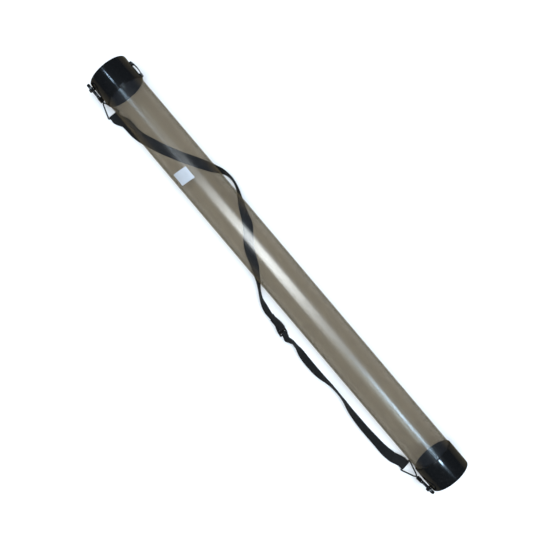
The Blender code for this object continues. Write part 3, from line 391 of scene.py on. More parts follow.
def map_range(tree, value, low, high, start=0.0, stop=1.0):
    """A value from start to stop, turned into one from low to high."""
    inputs = {"Value": value, "From Min": start, "From Max": stop}
    inputs |= {"To Min": low, "To Max": high}
    return result(tree, "ShaderNodeMapRange", inputs)


def mix_colour(tree, mask, first, second):
    """Two colours mixed by a mask; either colour may be a socket."""
    inputs = {"Factor": mask, "A": first, "B": second}
    return add_node(tree, "ShaderNodeMix", inputs, data_type="RGBA").outputs["Result"]


def bump(tree, height, strength, distance):
    """The normal that a height gives."""
    inputs = {"Height": height, "Strength": strength, "Distance": distance}
    return result(tree, "ShaderNodeBump", inputs)


def shared_tree(name, kind, inputs, outputs, fill):
    """A node tree with named sockets, filled the first time it is asked for.

    A socket is its name and kind, and its default if it has one. What fills the
    tree takes it with its input sockets, and gives its outputs by name.
    """
    tree = bpy.data.node_groups.get(name)
    if tree is None:
        tree = bpy.data.node_groups.new(name, kind)
        for in_out, sockets in (("INPUT", inputs), ("OUTPUT", outputs)):
            for label, socket_kind, *default in sockets:
                socket = tree.interface.new_socket(
                    name=label, in_out=in_out, socket_type="NodeSocket" + socket_kind
                )
                if default:
                    socket.default_value = default[0]
        start = add_node(tree, "NodeGroupInput")
        add_node(tree, "NodeGroupOutput", fill(tree, start.outputs))
    return tree


def scuff_group():
    """Fine scuffs and haze: a mask for gloss and a height for the surface."""

    def fill(tree, given):
        stretched = result(
            tree, "ShaderNodeVectorMath", {0: given["Vector"], 1: given["Stretch"]},
            operation="MULTIPLY",
        )
        lines = noise(tree, stretched, given["Scale"], 4.0, 0.62)
        clouds = noise(tree, given["Vector"], 22.0, 3.0)
        full = maths(tree, "ADD", given["Cut"], 0.22)
        cut = map_range(tree, lines, 0.0, 1.0, given["Cut"], full)
        return {"Mask": maths(tree, "MULTIPLY", cut, clouds), "Height": lines}

    inputs = [
        ("Vector", "Vector"), ("Stretch", "Vector", (1.0, 1.0, 1.0)),
        ("Scale", "Float", 200.0), ("Cut", "Float", 0.55),
    ]
    outputs = [("Mask", "Float"), ("Height", "Float")]
    return shared_tree("fine_scuffs", "ShaderNodeTree", inputs, outputs, fill)


def dust_group():
    """A thin dust that settles on faces turned up: its mask."""

    def fill(tree, given):
        specks = noise(tree, given["Vector"], 900.0)
        patches = noise(tree, given["Vector"], 14.0)
        cut = map_range(tree, specks, 0.0, 1.0, 0.56, 0.74)
        normal = add_node(tree, "ShaderNodeNewGeometry").outputs["Normal"]
        up = add_node(tree, "ShaderNodeSeparateXYZ", {0: normal}).outputs["Z"]
        rise = map_range(tree, up, 0.0, 1.0, 0.2, 1.0)
        settled = maths(tree, "MULTIPLY", maths(tree, "MULTIPLY", cut, patches), rise)
        return {"Mask": maths(tree, "MULTIPLY", settled, given["Amount"])}

    inputs = [("Vector", "Vector"), ("Amount", "Float", 0.3)]
    outputs = [("Mask", "Float")]
    return shared_tree("settled_dust", "ShaderNodeTree", inputs, outputs, fill)


def weave_group():
    """Yarns of plain webbing from a UV map in metres: a painted shade, darker in the
    hollows between yarns, and a height.
    """

    def fill(tree, given):
        split = add_node(tree, "ShaderNodeSeparateXYZ", {0: given["UV"]})
        row = maths(tree, "DIVIDE", split.outputs["X"], given["Rib Pitch"])
        column = maths(tree, "DIVIDE", split.outputs["Y"], given["Yarn Pitch"])
        shift = maths(tree, "MULTIPLY", maths(tree, "FLOOR", row), 0.5)
        yarns = wave(tree, maths(tree, "ADD", column, shift))
        lift = maths(tree, "MULTIPLY_ADD", yarns, 0.35, 0.5)
        ribs = maths(tree, "MULTIPLY", wave(tree, row), -0.25)
        height = maths(tree, "ADD", lift, ribs)
        # Shade is painted shade: the yarn height, dark in the hollows and light on the
        # crowns, times a real random fuzz of the fibres
        fuzz = noise(tree, given["UV"], 2600.0, 3.0)
        return {"Shade": maths(tree, "MULTIPLY", height, fuzz), "Height": height}

    inputs = [
        ("UV", "Vector"), ("Rib Pitch", "Float", 1.5 * MM),
        ("Yarn Pitch", "Float", 0.9 * MM),
    ]
    outputs = [("Shade", "Float"), ("Height", "Float")]
    return shared_tree("plain_weave", "ShaderNodeTree", inputs, outputs, fill)


# Materials

EVEN = (1.0, 1.0, 1.0)
EXTRUDED = (0.02, 1.0, 1.0)
DRAWN = (0.35, 1.0, 1.0)
TUBE_DUST = (0.30, 0.29, 0.27)
BLACK_DUST = (0.12, 0.115, 0.11)
WORN_BLACK = (0.018, 0.019, 0.021)


def new_material(name):
    """A material with its tree and its Principled shader."""
    made = bpy.data.materials.new(name)
    made.use_nodes = True
    return made, made.node_tree, made.node_tree.nodes["Principled BSDF"]


def object_place(tree):
    """Object coordinates."""
    return add_node(tree, "ShaderNodeTexCoord").outputs["Object"]


def use_group(tree, group, **values):
    """The outputs of a shared effect, placed in a material with its own values."""
    return add_node(tree, "ShaderNodeGroup", named(values), node_tree=group).outputs


def brighter(colour, factor, lift=0.0):
    """A colour times a factor, no brighter than white."""
    return tuple(min(1.0, part * factor + lift) for part in colour)


def clear_plastic():
    """Smoke-tinted clear plastic with the long faint lines of extrusion.

    A tinted see-through shader shows what lies behind the wall, and the Principled
    shader over it gives the haze, the dust and the gloss. The haze and the body grow
    where the wall is seen edge on: partly the longer path through it, partly painted
    shade, so that the lighter middle stands in for the broad glow round the highlight.
    """
    settings = look().tube
    made, tree, shader = new_material("clear_smoke_plastic")
    place = object_place(tree)
    lines = use_group(
        tree, scuff_group(), Vector=place, Stretch=EXTRUDED, Scale=260.0, Cut=0.5
    )
    dust = use_group(tree, dust_group(), Vector=place, Amount=0.35)
    # Edge-on darkening: partly the longer path through the wall, partly painted shade
    # standing in for the highlight's broad glow in the middle
    facing = add_node(tree, "ShaderNodeLayerWeight", {"Blend": 0.35}).outputs["Facing"]
    rim = maths(tree, "POWER", facing, 2.0)
    smoke = settings.smoke
    haze = mix_colour(tree, lines["Height"], smoke, brighter(smoke, 1.7))
    haze = mix_colour(tree, rim, haze, settings.edge)
    blurred = settings.roughness + 0.2
    principled = {
        "Base Color": mix_colour(tree, dust["Mask"], haze, TUBE_DUST),
        "Roughness": map_range(tree, lines["Mask"], settings.roughness, blurred),
        "Normal": bump(tree, lines["Height"], 0.5, 0.6 * MM), "IOR": 2.5,
    }
    feed(tree, shader, principled)
    body = map_range(tree, rim, settings.body, settings.body + settings.edge_body)
    hidden = maths(tree, "MULTIPLY_ADD", dust["Mask"], 0.25, body)
    see_through = result(tree, "ShaderNodeBsdfTransparent", {"Color": settings.tint})
    layers = {"Fac": hidden, 1: see_through, 2: shader.outputs[0]}
    wall = result(tree, "ShaderNodeMixShader", layers)
    feed(tree, tree.nodes["Material Output"], {"Surface": wall})
    return made


def scuffed(name, scuffs, colours, roughness, grain, speck=0.0, **fixed):
    """A finish whose scuffs change its colour, gloss and surface.

    Scuffs are stretch, scale and cut, grain is the bump's strength and depth,
    and speck is dust. Colours and roughness go from clean to scuffed, or the
    roughness is one number.
    """
    made, tree, shader = new_material(name)
    place = object_place(tree)
    stretch, scale, cut = scuffs
    marks = use_group(
        tree, scuff_group(), Vector=place, Stretch=stretch, Scale=scale, Cut=cut
    )
    colour = mix_colour(tree, marks["Mask"], *colours)
    if speck:
        dust = use_group(tree, dust_group(), Vector=place, Amount=speck)
        colour = mix_colour(tree, dust["Mask"], colour, BLACK_DUST)
    if isinstance(roughness, tuple):
        roughness = map_range(tree, marks["Mask"], *roughness)
    normal = bump(tree, marks["Height"], *grain)
    principled = {"Base Color": colour, "Roughness": roughness, "Normal": normal}
    feed(tree, shader, {**principled, **named(fixed)})
    return made


def black_plastic(name, roughness, grain=0.05):
    """Moulded black plastic: fine scuffs, a little dust and worn gloss."""
    return scuffed(
        name, (DRAWN, 420.0, 0.58), (look().plastic.colour, WORN_BLACK),
        (roughness, roughness + 0.35), (grain, 0.1 * MM), speck=0.25, IOR=1.5,
    )


def coated_metal(name, colour, roughness, metallic):
    """Metal of the swivels, pins and springs, with rubbed places."""
    return scuffed(
        name, (EVEN, 700.0, 0.5), (colour, brighter(colour, 2.2, 0.05)),
        (roughness, roughness + 0.2), (0.1, 0.1 * MM), Metallic=metallic,
    )


def label_paper():
    """Blank coated paper, a little creased."""
    return scuffed(
        "blank_label_paper", (EVEN, 90.0, 0.48),
        ((0.40, 0.43, 0.47), (0.33, 0.355, 0.38)), (0.38, 0.6), (0.25, 0.2 * MM),
    )


def thread():
    """Twisted sewing thread, slightly glossier than the webbing."""
    return scuffed(
        "black_thread", (EVEN, 2500.0, 0.4),
        ((0.010, 0.0104, 0.011), (0.026, 0.027, 0.028)), 0.65, (0.5, 0.1 * MM),
        Specular_IOR_Level=0.25,
    )


def webbing_cloth():
    """Black woven webbing: yarns on the strap's own UV map."""
    settings = look().webbing
    made, tree, shader = new_material("black_webbing")
    weave = use_group(
        tree, weave_group(), UV=result(tree, "ShaderNodeUVMap", uv_map="strap_uv"),
        Rib_Pitch=settings.rib_pitch, Yarn_Pitch=0.95 * MM,
    )
    # Painted shade: the yarn colour runs from a darker copy in the weave's hollows to a
    # lighter copy on the yarn crowns, with a real fibre fuzz
    dark, light = brighter(settings.colour, 0.55), brighter(settings.colour, 2.6)
    principled = {
        "Base Color": mix_colour(tree, weave["Shade"], dark, light),
        "Roughness": map_range(tree, weave["Shade"], 0.85, 0.62),
        "Normal": bump(tree, weave["Height"], 0.6, 0.18 * MM),
        "Specular IOR Level": 0.25, "Sheen Weight": 0.05, "Sheen Roughness": 0.5,
    }
    feed(tree, shader, principled)
    return made


# Mesh helpers

SMOOTH_UP_TO = math.radians(32.0)
ROUND_ABOVE = math.radians(38.0)
ROUND_CARVED_ABOVE = math.radians(50.0)
FLAT_WITHIN = math.radians(0.6)
MERGE_PACKED = 2e-6
MERGE_TURNED = 1e-6
ON_AXIS = 1e-7


def mesh_of(shape, name):
    """A mesh from a bmesh, which is freed."""
    mesh = bpy.data.meshes.new(name)
    shape.to_mesh(mesh)
    shape.free()
    return mesh


def link_object(name, data):
    """A mesh, lamp or camera as one object at the origin, in the scene."""
    piece = bpy.data.objects.new(name, data)
    bpy.context.scene.collection.objects.link(piece)
    return piece


def apply_modifiers(piece):
    """Make a plain mesh of what a piece's modifiers give."""
    bpy.context.view_layer.update()
    graph = bpy.context.evaluated_depsgraph_get()
    mesh = bpy.data.meshes.new_from_object(piece.evaluated_get(graph))
    old = piece.data
    piece.modifiers.clear()
    piece.data = mesh
    mesh.name = piece.name
    bpy.data.meshes.remove(old)


def settle(piece):
    """Apply a piece's modifiers, and shade it smooth up to an angle."""
    apply_modifiers(piece)
    mesh = piece.data
    mesh.polygons.foreach_set("use_smooth", [True] * len(mesh.polygons))
    mesh.set_sharp_from_angle(angle=SMOOTH_UP_TO)


def carve(piece, tools):
    """Join and cut a piece with tools of (mesh, matrix, operation), in order."""
    helpers = []
    for mesh, matrix, operation in tools:
        helper = link_object("helper", mesh)
        helper.matrix_world = matrix
        helpers.append(helper)
        step = piece.modifiers.new("cut", "BOOLEAN")
        step.operation = operation
        step.solver = "EXACT"
        step.object = helper
    settle(piece)
    for helper in helpers:
        mesh = helper.data
        bpy.data.objects.remove(helper, do_unlink=True)
        bpy.data.meshes.remove(mesh)


def round_edges(piece, width, above, segments):
    """A small rounding on a piece's sharp edges."""
    bevel = piece.modifiers.new("edges", "BEVEL")
    bevel.width = width
    bevel.segments = segments
    bevel.limit_method = "ANGLE"
    bevel.angle_limit = above


def lathe(name, profile, x, facing):
    """A closed section of (radius, height) turned about the tube's axis."""
    shape = bmesh.new()
    points = [
        shape.verts.new((x + facing * height, AXIS_Y + radius, AXIS_Z))
        for radius, height in profile
    ]
    edges = [
        shape.edges.new(pair)
        for pair in zip(points, points[1:] + points[:1])
        if any(abs(vert.co.y - AXIS_Y) > ON_AXIS for vert in pair)
    ]
    bmesh.ops.spin(
        shape, geom=points + edges, cent=(x, AXIS_Y, AXIS_Z), axis=X_WAY,
        angle=math.tau, steps=ROUND_STEPS, use_merge=True,
    )
    bmesh.ops.remove_doubles(shape, verts=shape.verts, dist=MERGE_TURNED)
    bmesh.ops.recalc_face_normals(shape, faces=shape.faces)
    return mesh_of(shape, name)


def round_corner(centre, radius, start_deg, end_deg):
    """Points of a rounded corner, in (radius, height)."""
    points = []
    for index in range(CORNER_STEPS + 1):
        angle = math.radians(start_deg + (end_deg - start_deg) * index / CORNER_STEPS)
        points.append(
            (centre[0] + radius * math.cos(angle), centre[1] + radius * math.sin(angle))
        )
    return points


def block(size, bevel=0.0, segments=6, tip_only=False):
    """A box mesh, its upright edges rounded: all of them, or those at +X."""
    shape = bmesh.new()
    bmesh.ops.create_cube(shape, size=1.0)
    bmesh.ops.scale(shape, vec=size, verts=shape.verts)
    if bevel:
        chosen = [
            edge
            for edge in shape.edges
            if abs(edge.verts[0].co.z - edge.verts[1].co.z) > size[2] / 2
            and not (tip_only and edge.verts[0].co.x < 0)
        ]
        bmesh.ops.bevel(
            shape, geom=chosen, offset=bevel, segments=segments, profile=0.5,
            affect="EDGES",
        )
    return mesh_of(shape, "block")


def rod(radius, length):
    """A plain round rod about Z, as a bmesh."""
    shape = bmesh.new()
    bmesh.ops.create_cone(
        shape, cap_ends=True, segments=ROD_STEPS, radius1=radius, radius2=radius,
        depth=length,
    )
    return shape


def frame_matrix(place, along, up_hint):
    """A frame at a place: X along one way, Z as near as can be to the hint."""
    x_axis = along.normalized()
    y_axis = up_hint.cross(x_axis).normalized()
    z_axis = x_axis.cross(y_axis)
    turn = Matrix((x_axis, y_axis, z_axis)).transposed().to_4x4()
    return Matrix.Translation(place) @ turn


def own_way(matrix, axis):
    """The direction of one of a frame's own axes."""
    return matrix.col[axis].to_3d().normalized()


def towards(way, hint):
    """A direction, turned round if it points away from the hint."""
    return -way if way.dot(hint) < 0 else way


def dress(piece, body, material, node=None):
    """A finished piece's body and material, and the imported part it stands for, which
    is hidden.
    """
    piece.data.materials.clear()
    piece.data.materials.append(material)
    if node:
        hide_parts(node)
    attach(piece, body)


def finish_part(node, body, material, edge=0.0):
    """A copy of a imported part, merged, with its moulded edges rounded."""
    shape = bmesh.new()
    shape.from_mesh(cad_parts[node].data)
    bmesh.ops.remove_doubles(shape, verts=shape.verts, dist=MERGE_PACKED)
    bmesh.ops.dissolve_limit(
        shape, angle_limit=FLAT_WITHIN, verts=shape.verts, edges=shape.edges,
    )
    piece = link_object(node + "_finished", mesh_of(shape, node))
    if edge:
        round_edges(piece, edge, ROUND_ABOVE, 3)
    settle(piece)
    dress(piece, body, material, node)
    return piece


# The tube and its two ends


def eyelet_place(radius, end):
    """The place of an end's eyelet at a distance from the tube's axis."""
    x = end * (HALF_LENGTH - EYELET_FROM_END)
    return Vector((x, AXIS_Y, AXIS_Z)) + EYELET_OUT * radius


def eyelet_tools(end):
    """The loop of an eyelet and the slot that is cut from it."""
    root, tip = COLLAR_RADIUS - EYELET_ROOT, COLLAR_RADIUS + EYELET_HOLE + EYELET_RIM
    floor, roof = COLLAR_RADIUS + EYELET_STEP, COLLAR_RADIUS + EYELET_HOLE
    loop_size = (tip - root, EYELET_SLOT + 2 * EYELET_RIM, EYELET_THICK)
    loop = block(loop_size, EYELET_CORNER, segments=8, tip_only=True)
    slot = block((roof - floor, EYELET_SLOT, EYELET_THICK * 3), EYELET_SLOT_CORNER)
    tools = []
    for mesh, radius, operation in (
        (loop, (root + tip) / 2, "UNION"), (slot, (floor + roof) / 2, "DIFFERENCE"),
    ):
        place = eyelet_place(radius, end)
        matrix = frame_matrix(place, EYELET_OUT, EYELET_OUT.cross(EYELET_UP))
        tools.append((mesh, matrix, operation))
    return tools


def window_tool(clearance):
    """The cutter of the window that the catch's nose goes through."""
    nose = CATCH_PIVOT.x - CATCH_LENGTH
    front, back = nose - WINDOW_AHEAD, nose + WINDOW_BEHIND
    size = (
        back - front + 2 * clearance, WINDOW_DEPTH,
        CATCH_WIDTH + WINDOW_PLAY + 2 * clearance,
    )
    middle = Vector(((front + back) / 2, AXIS_Y + TUBE_RADIUS, AXIS_Z))
    return block(size), Matrix.Translation(middle), "DIFFERENCE"


def ear_tools():
    """The two ears of the catch, each a disc drawn down into the collar."""
    depth = CATCH_PIVOT.y - AXIS_Y - COLLAR_RADIUS + EAR_ROOT
    offset = CATCH_WIDTH / 2 + FIT_GAP + EAR_THICK / 2
    tools = []
    for side in (-1, 1):
        ear = rod(EAR_RADIUS, EAR_THICK)
        for vert in ear.verts:
            if vert.co.y < -EAR_RADIUS * 0.05:
                vert.co.y = -depth
                vert.co.x *= EAR_SPREAD
        place = CATCH_PIVOT + Vector((0.0, 0.0, side * offset))
        tools.append((mesh_of(ear, "ear"), Matrix.Translation(place), "UNION"))
    return tools


def build_tube():
    """The clear tube, a round wall with the catch's window."""
    end, outside, inside = TUBE_HALF, TUBE_RADIUS, TUBE_BORE
    profile = [
        (outside, end - TUBE_EDGE), (outside, -end + TUBE_EDGE),
        (outside - TUBE_EDGE, -end), (inside + TUBE_EDGE, -end),
        (inside, -end + TUBE_EDGE), (inside, end - TUBE_EDGE),
        (inside + TUBE_EDGE, end), (outside - TUBE_EDGE, end),
    ]
    tube = link_object("tube_finished", lathe("tube", profile, 0.0, 1.0))
    carve(tube, [window_tool(0.0)])
    dress(tube, "holder", clear_plastic(), "tube")


def sleeve_profile(end):
    """The section of an end's sleeve, its outer end at height zero."""
    middle = COLLAR_RADIUS - EDGE_ROUND
    outer = round_corner((middle, COLLAR_LENGTH - EDGE_ROUND), EDGE_ROUND, 90, 0)
    outer += round_corner((middle, EDGE_ROUND), EDGE_ROUND, 0, -90)
    if end == MOUTH:
        lip = MOUTH_BORE + MOUTH_ROUND
        inner = [(lip, 0.0)]
        inner += round_corner((lip, MOUTH_ROUND), MOUTH_ROUND, -90, -180)[1:]
        inner += [(MOUTH_BORE, END_WALL)]
    else:
        inner = [(0.0, 0.0), (0.0, END_WALL)]
    return outer + inner + [
        (COLLAR_INNER, END_WALL), (COLLAR_INNER, COLLAR_LENGTH - COLLAR_LEAD),
        (COLLAR_INNER + COLLAR_LEAD, COLLAR_LENGTH),
    ]


def build_end(node, end, tools):
    """A black end: its sleeve, carved with its tools and with its eyelet."""
    settings = look().plastic
    mesh = lathe(node, sleeve_profile(end), end * HALF_LENGTH, -end)
    piece = link_object(node + "_finished", mesh)
    carve(piece, tools + eyelet_tools(end))
    round_edges(piece, settings.edge * 0.7, ROUND_CARVED_ABOVE, 2)
    settle(piece)
    black = black_plastic(node + "_black", settings.roughness)
    dress(piece, "holder", black, node)


def build_ends():
    """The mouth collar with its catch ears and window, and the end cap."""
    pin_hole = mesh_of(rod(PIN_RADIUS + FIT_GAP, CATCH_WIDTH * 3), "pin_hole")
    tools = ear_tools() + [
        window_tool(FIT_GAP), (pin_hole, Matrix.Translation(CATCH_PIVOT), "DIFFERENCE"),
    ]
    build_end("mouth_collar", MOUTH, tools)
    build_end("end_cap", CLOSED, [])


def build_catch():
    """The sprung ball catch with its pin and spring."""
    black = black_plastic("ball_catch_black", 0.3)
    steel = coated_metal("catch_pin_steel", (0.38, 0.38, 0.39), 0.3, 1.0)
    finish_part("ball_catch", "catch", black, look().plastic.edge)
    finish_part("catch_pin", "holder", steel, 0.12 * MM)
    finish_part("catch_spring", "holder", steel)


def build_label():
    """The blank paper label, curved to the tube's outside."""
    shape = bmesh.new()
    bmesh.ops.create_grid(shape, x_segments=40, y_segments=24, size=0.5)
    first, last = (math.radians(value) for value in LABEL_ANGLES)
    for vert in shape.verts:
        share, run = vert.co.x + 0.5, vert.co.y
        angle = first + (last - first) * share
        ripple = LABEL_RIPPLE * math.sin(run * LABEL_WAVES[0] + share * LABEL_WAVES[1])
        lift = LABEL_CORNER_LIFT * max(0.0, share - LABEL_CORNER) * max(0.0, run)
        radius = TUBE_RADIUS + FIT_GAP + LABEL_THICK / 2 + ripple + lift
        vert.co = (
            LABEL_CENTRE_X + run * LABEL_LENGTH - (share - 0.5) * LABEL_SKEW,
            AXIS_Y + radius * math.cos(angle), AXIS_Z + radius * math.sin(angle),
        )
    bmesh.ops.recalc_face_normals(shape, faces=shape.faces)
    label = link_object("tube_label_finished", mesh_of(shape, "tube_label"))
    wall = label.modifiers.new("paper", "SOLIDIFY")
    wall.thickness = LABEL_THICK * 0.7
    wall.offset = 0.0
    settle(label)
    dress(label, "holder", label_paper(), "tube_label")


def build_hooks():
    """Both snap hooks: bodies, gates, pins, gate springs and swivels."""
    edge = look().plastic.edge
    plastic = black_plastic("hook_black", 0.3, grain=0.08)
    dark = coated_metal("swivel_black_metal", (0.02, 0.02, 0.022), 0.35, 0.6)
    steel = coated_metal("hook_pin_steel", (0.36, 0.36, 0.37), 0.32, 1.0)
    for which in ("top", "bottom"):
        hook, gate = which + "_hook", which + "_gate"
        finish_part(hook + "_body", hook, plastic, edge)
        finish_part(hook + "_gate", gate, plastic, edge * 0.6)
        finish_part(gate + "_pin", hook, steel, 0.1 * MM)
        finish_part(gate + "_spring", hook, steel)
        finish_part(hook + "_swivel", "holder", dark)


# The route of the webbing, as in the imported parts


def hook_frame(end):
    """A hook's frame: X to its loop's bar, Y to its gate, at its bend."""
    hole = eyelet_place(COLLAR_RADIUS + EYELET_HOLE / 2, end)
    bar_y, bar_z = HOOK_BARS[end]
    aside = bar_y + AXIS_Y - hole.y
    fall = bar_z - hole.z
    reach = HOOK_BAR_PLACE - HOOK_SPINE_IN_EYELET
    inward = math.sqrt(reach**2 + HOOK_BEND**2 - aside**2 - fall**2)
    to_bar = Vector((-end * inward, aside, fall)).normalized()
    up_way = (Z_WAY - to_bar * to_bar.z).normalized()
    dip = math.atan2(HOOK_BEND, reach)
    along = to_bar * math.cos(dip) - up_way * math.sin(dip)
    gate_way = to_bar * math.sin(dip) + up_way * math.cos(dip)
    bend = hole - along * HOOK_SPINE_IN_EYELET + gate_way * HOOK_BEND
    return frame_matrix(bend, along, along.cross(gate_way))


def width_way(heading, tilt_deg):
    """The webbing's width direction for a heading and a tilt, left edge up."""
    left = Z_WAY.cross(heading).normalized()
    up = heading.cross(left)
    tilt = math.radians(tilt_deg)
    return (left * math.cos(tilt) + up * math.sin(tilt)).normalized()


def resting_height(tilt_deg, width=STRAP_WIDTH, thick=STRAP_THICK):
    """Height of a tilted strip's middle when its lower edge is at the floor."""
    tilt = math.radians(abs(tilt_deg))
    return width / 2 * math.sin(tilt) + thick / 2 * math.cos(tilt) + FLOOR_GAP


def route_point(point):
    """A route point's place in metres, with its lower edge at its lift."""
    x, y, lift, tilt_deg = point
    return Vector((x * MM, y * MM + AXIS_Y, lift * MM + resting_height(tilt_deg)))


def smooth_value(before, here, there, after, t):
    """A smooth value between two others, from the ones before and after."""
    return 0.5 * (
        2 * here
        + (there - before) * t
        + (2 * before - 5 * here + 4 * there - after) * t * t
        + (3 * here - before - 3 * there + after) * t * t * t
    )


def stretches(rows):
    """For each two rows that follow each other, the four around the gap."""
    padded = [rows[0], *rows, rows[-1]]
    return [padded[index : index + 4] for index in range(len(rows) - 1)]


def spline_through(rows):
    """A smooth curve through rows of numbers, with a point each step."""
    smooth = []
    for near in stretches(rows):
        span = (Vector(near[2][:3]) - Vector(near[1][:3])).length
        pieces = max(1, round(span / STRAP_STEP))
        for piece in range(pieces):
            t = piece / pieces
            smooth.append([smooth_value(*values, t) for values in zip(*near)])
    smooth.append(list(rows[-1]))
    return smooth


def free_run(route, ahead, behind):
    """Places and width directions along a route between two fixed places."""
    line = spline_through([(*route_point(point), point[3]) for point in route])
    places = [Vector((x, y, max(z, resting_height(tilt)))) for x, y, z, tilt in line]
    guide = [behind, *places, ahead]
    run = []
    for row, before, place, after in zip(line, guide, places, guide[2:]):
        run.append((place, width_way((after - before).normalized(), row[3])))
    return run


def fold(bar_place, bar_way, run_way, bar_radius, back_side):
    """The webbing's turn round a bar, from the sewn-back layer to the run."""
    normal = run_way.cross(bar_way).normalized() * back_side
    wrap = bar_radius + BAR_WRAP
    near = 0.25 * wrap + 0.75 * LAYER_GAP / 2
    mid = 0.8 * wrap + 0.2 * LAYER_GAP / 2
    flat = [(FOLD_NECK * 0.65, near), (FOLD_NECK * 0.35, mid)]
    for index in range(FOLD_STEPS + 1):
        angle = math.pi / 2 + math.pi * index / FOLD_STEPS
        flat.append((wrap * math.cos(angle), wrap * math.sin(angle)))
    flat += [
        (FOLD_NECK * 0.35, -mid), (FOLD_NECK * 0.65, -near),
        (FOLD_NECK, -LAYER_GAP / 2),
    ]
    return [(bar_place + run_way * run + normal * off, bar_way) for run, off in flat]


def layer_over(run, hint, rise=LAYER_GAP, reach=SEWN_REACH):
    """A layer lying on the first stretch of other webbing, on the hint's side."""
    covered = 0.0
    layer = []
    index = 0
    while covered <= reach:
        place, width = run[index]
        ahead, behind = run[index + 1][0], run[max(index - 1, 0)][0]
        normal = towards((ahead - behind).cross(width).normalized(), hint)
        layer.append((place + normal * rise, width))
        covered += (ahead - place).length
        index += 1
    return layer


def slider_ways():
    """The adjuster's frame, X along the strap, with its ways across and up."""
    angle = math.radians(SLIDER_HEADING)
    heading = Vector((math.cos(angle), math.sin(angle), 0.0))
    across = width_way(heading, SLIDER_TILT)
    height = resting_height(SLIDER_TILT, SLIDER_WIDTH, SLIDER_THICK)
    x, y = SLIDER_CENTRE
    place = Vector((x * MM, y * MM + AXIS_Y, height))
    slider = frame_matrix(place, heading, heading.cross(across))
    return slider, own_way(slider, 1), own_way(slider, 2)


def hook_fold(end, route_end):
    """The turn round a hook's bar, and the way up from the webbing there."""
    hook = hook_frame(end)
    along = own_way(hook, 0)
    swivel = frame_matrix(hook.translation, along, towards(Z_WAY.cross(along), Y_WAY))
    bar_place = swivel @ (X_WAY * HOOK_BAR_PLACE)
    bar_way = towards(own_way(swivel, 2), Y_WAY)
    toward = (route_point(route_end) - bar_place).normalized()
    run_way = (toward - bar_way * toward.dot(bar_way)).normalized()
    up_way = run_way.cross(bar_way).normalized() * -end
    return fold(bar_place, bar_way, run_way, LOOP_ROD / 2, -end), up_way


def upper_webbing():
    """The upper webbing's stations and seams, and its way back from the adjuster.

    A seam is a layer and the direction in which its outer side faces.
    """
    start, top_up = hook_fold(MOUTH, UPPER_ROUTE[0])
    slider, across, slider_up = slider_ways()
    near_bar = slider @ (X_WAY * -((SLIDER_LENGTH - SLIDER_BAR) / 2))
    back_way = across.cross(slider_up).normalized() * -1.0
    bar_radius = SLIDER_BAR / 2 + SLIDER_EDGE / 2
    finish = fold(near_bar, across, back_way, bar_radius, 1.0)[::-1]
    run = free_run(UPPER_ROUTE, finish[0][0], start[-1][0])
    ahead, back = start[-1:] + run, run[::-1]
    first = layer_over(ahead, top_up)[::-1]
    last = layer_over(finish[:1] + back, -slider_up)
    under = layer_over(ahead, top_up, rise=0.0)
    seams = [(first, top_up), (under, -top_up), (last, -slider_up)]
    return first + start + run + finish + last, seams, finish[:2][::-1] + back


def lower_webbing(upper_back):
    """The lower webbing's stations, from its tail on the upper one, and seams."""
    slider, across, slider_up = slider_ways()
    tail_gap = STRAP_THICK + 2.0 * FIT_GAP
    offset = (SLIDER_LENGTH - SLIDER_BAR) / 2 / MM
    over = (SLIDER_THICK / 2 + FIT_GAP + STRAP_THICK / 2) / MM
    tail_rise = over + tail_gap / MM
    near_slot = -SLIDER_BAR / 2 / MM - 1.15
    far_slot = SLIDER_BAR / 2 / MM + 1.9
    # Along the adjuster and up from it, in millimetres
    flat = [
        (-offset - 1.0, tail_rise), (-offset + 1.0, tail_rise),
        (near_slot - 1.6, tail_rise - 0.1), (near_slot - 0.7, tail_rise - 0.6),
        (near_slot - 0.1, tail_rise - 1.6), (near_slot, over - 1.6),
        (near_slot, -over + 1.3), (near_slot + 0.35, -over + 0.4),
        (near_slot + 1.1, -over), (far_slot - 1.5, -over),
        (far_slot - 0.6, -over + 0.4), (far_slot, -over + 1.4),
        (far_slot + 0.1, over - 1.4), (far_slot + 0.6, over - 0.4),
        (far_slot + 1.5, over), (offset + 1.0, over), (offset + 3.4, over - 0.7),
        (offset + 7.0, 0.6), (offset + 11.0, 0.1),
    ]
    start = layer_over(upper_back, slider_up, tail_gap, TAIL_LENGTH)[::-1]
    start += [(slider @ Vector((x * MM, 0.0, z * MM)), across) for x, z in flat]
    finish, bottom_up = hook_fold(CLOSED, LOWER_ROUTE[-1])
    finish = finish[::-1]
    run = free_run(LOWER_ROUTE, finish[0][0], start[-1][0])
    back = finish[:1] + run[::-1]
    last = layer_over(back, bottom_up)
    under = layer_over(back, bottom_up, rise=0.0)
    seams = [(last, bottom_up), (under, -bottom_up)]
    return start + run + finish + last, seams


# The webbing itself


def fine_rows(stations, step):
    """Smooth rows of place, width way, normal and distance along the webbing."""
    line = [stations[0]]
    for place, width in stations[1:]:
        line.append((place, width if width.dot(line[-1][1]) > 0 else -width))
    places, widths = [], []
    for near in stretches(line):
        pieces = max(1, math.ceil((near[2][0] - near[1][0]).length / step))
        for piece in range(pieces):
            t = piece / pieces
            places.append(smooth_value(*(place for place, _ in near), t))
            widths.append(near[1][1].lerp(near[2][1], t).normalized())
    places.append(line[-1][0])
    widths.append(line[-1][1])
    rows = []
    distance = 0.0
    guide = [places[0], *places, places[-1]]
    for before, place, after, width in zip(guide, places, guide[2:], widths):
        heading = (after - before).normalized()
        flat_width = (width - heading * width.dot(heading)).normalized()
        rows.append((place, flat_width, heading.cross(flat_width), distance))
        distance += (after - place).length
    return rows


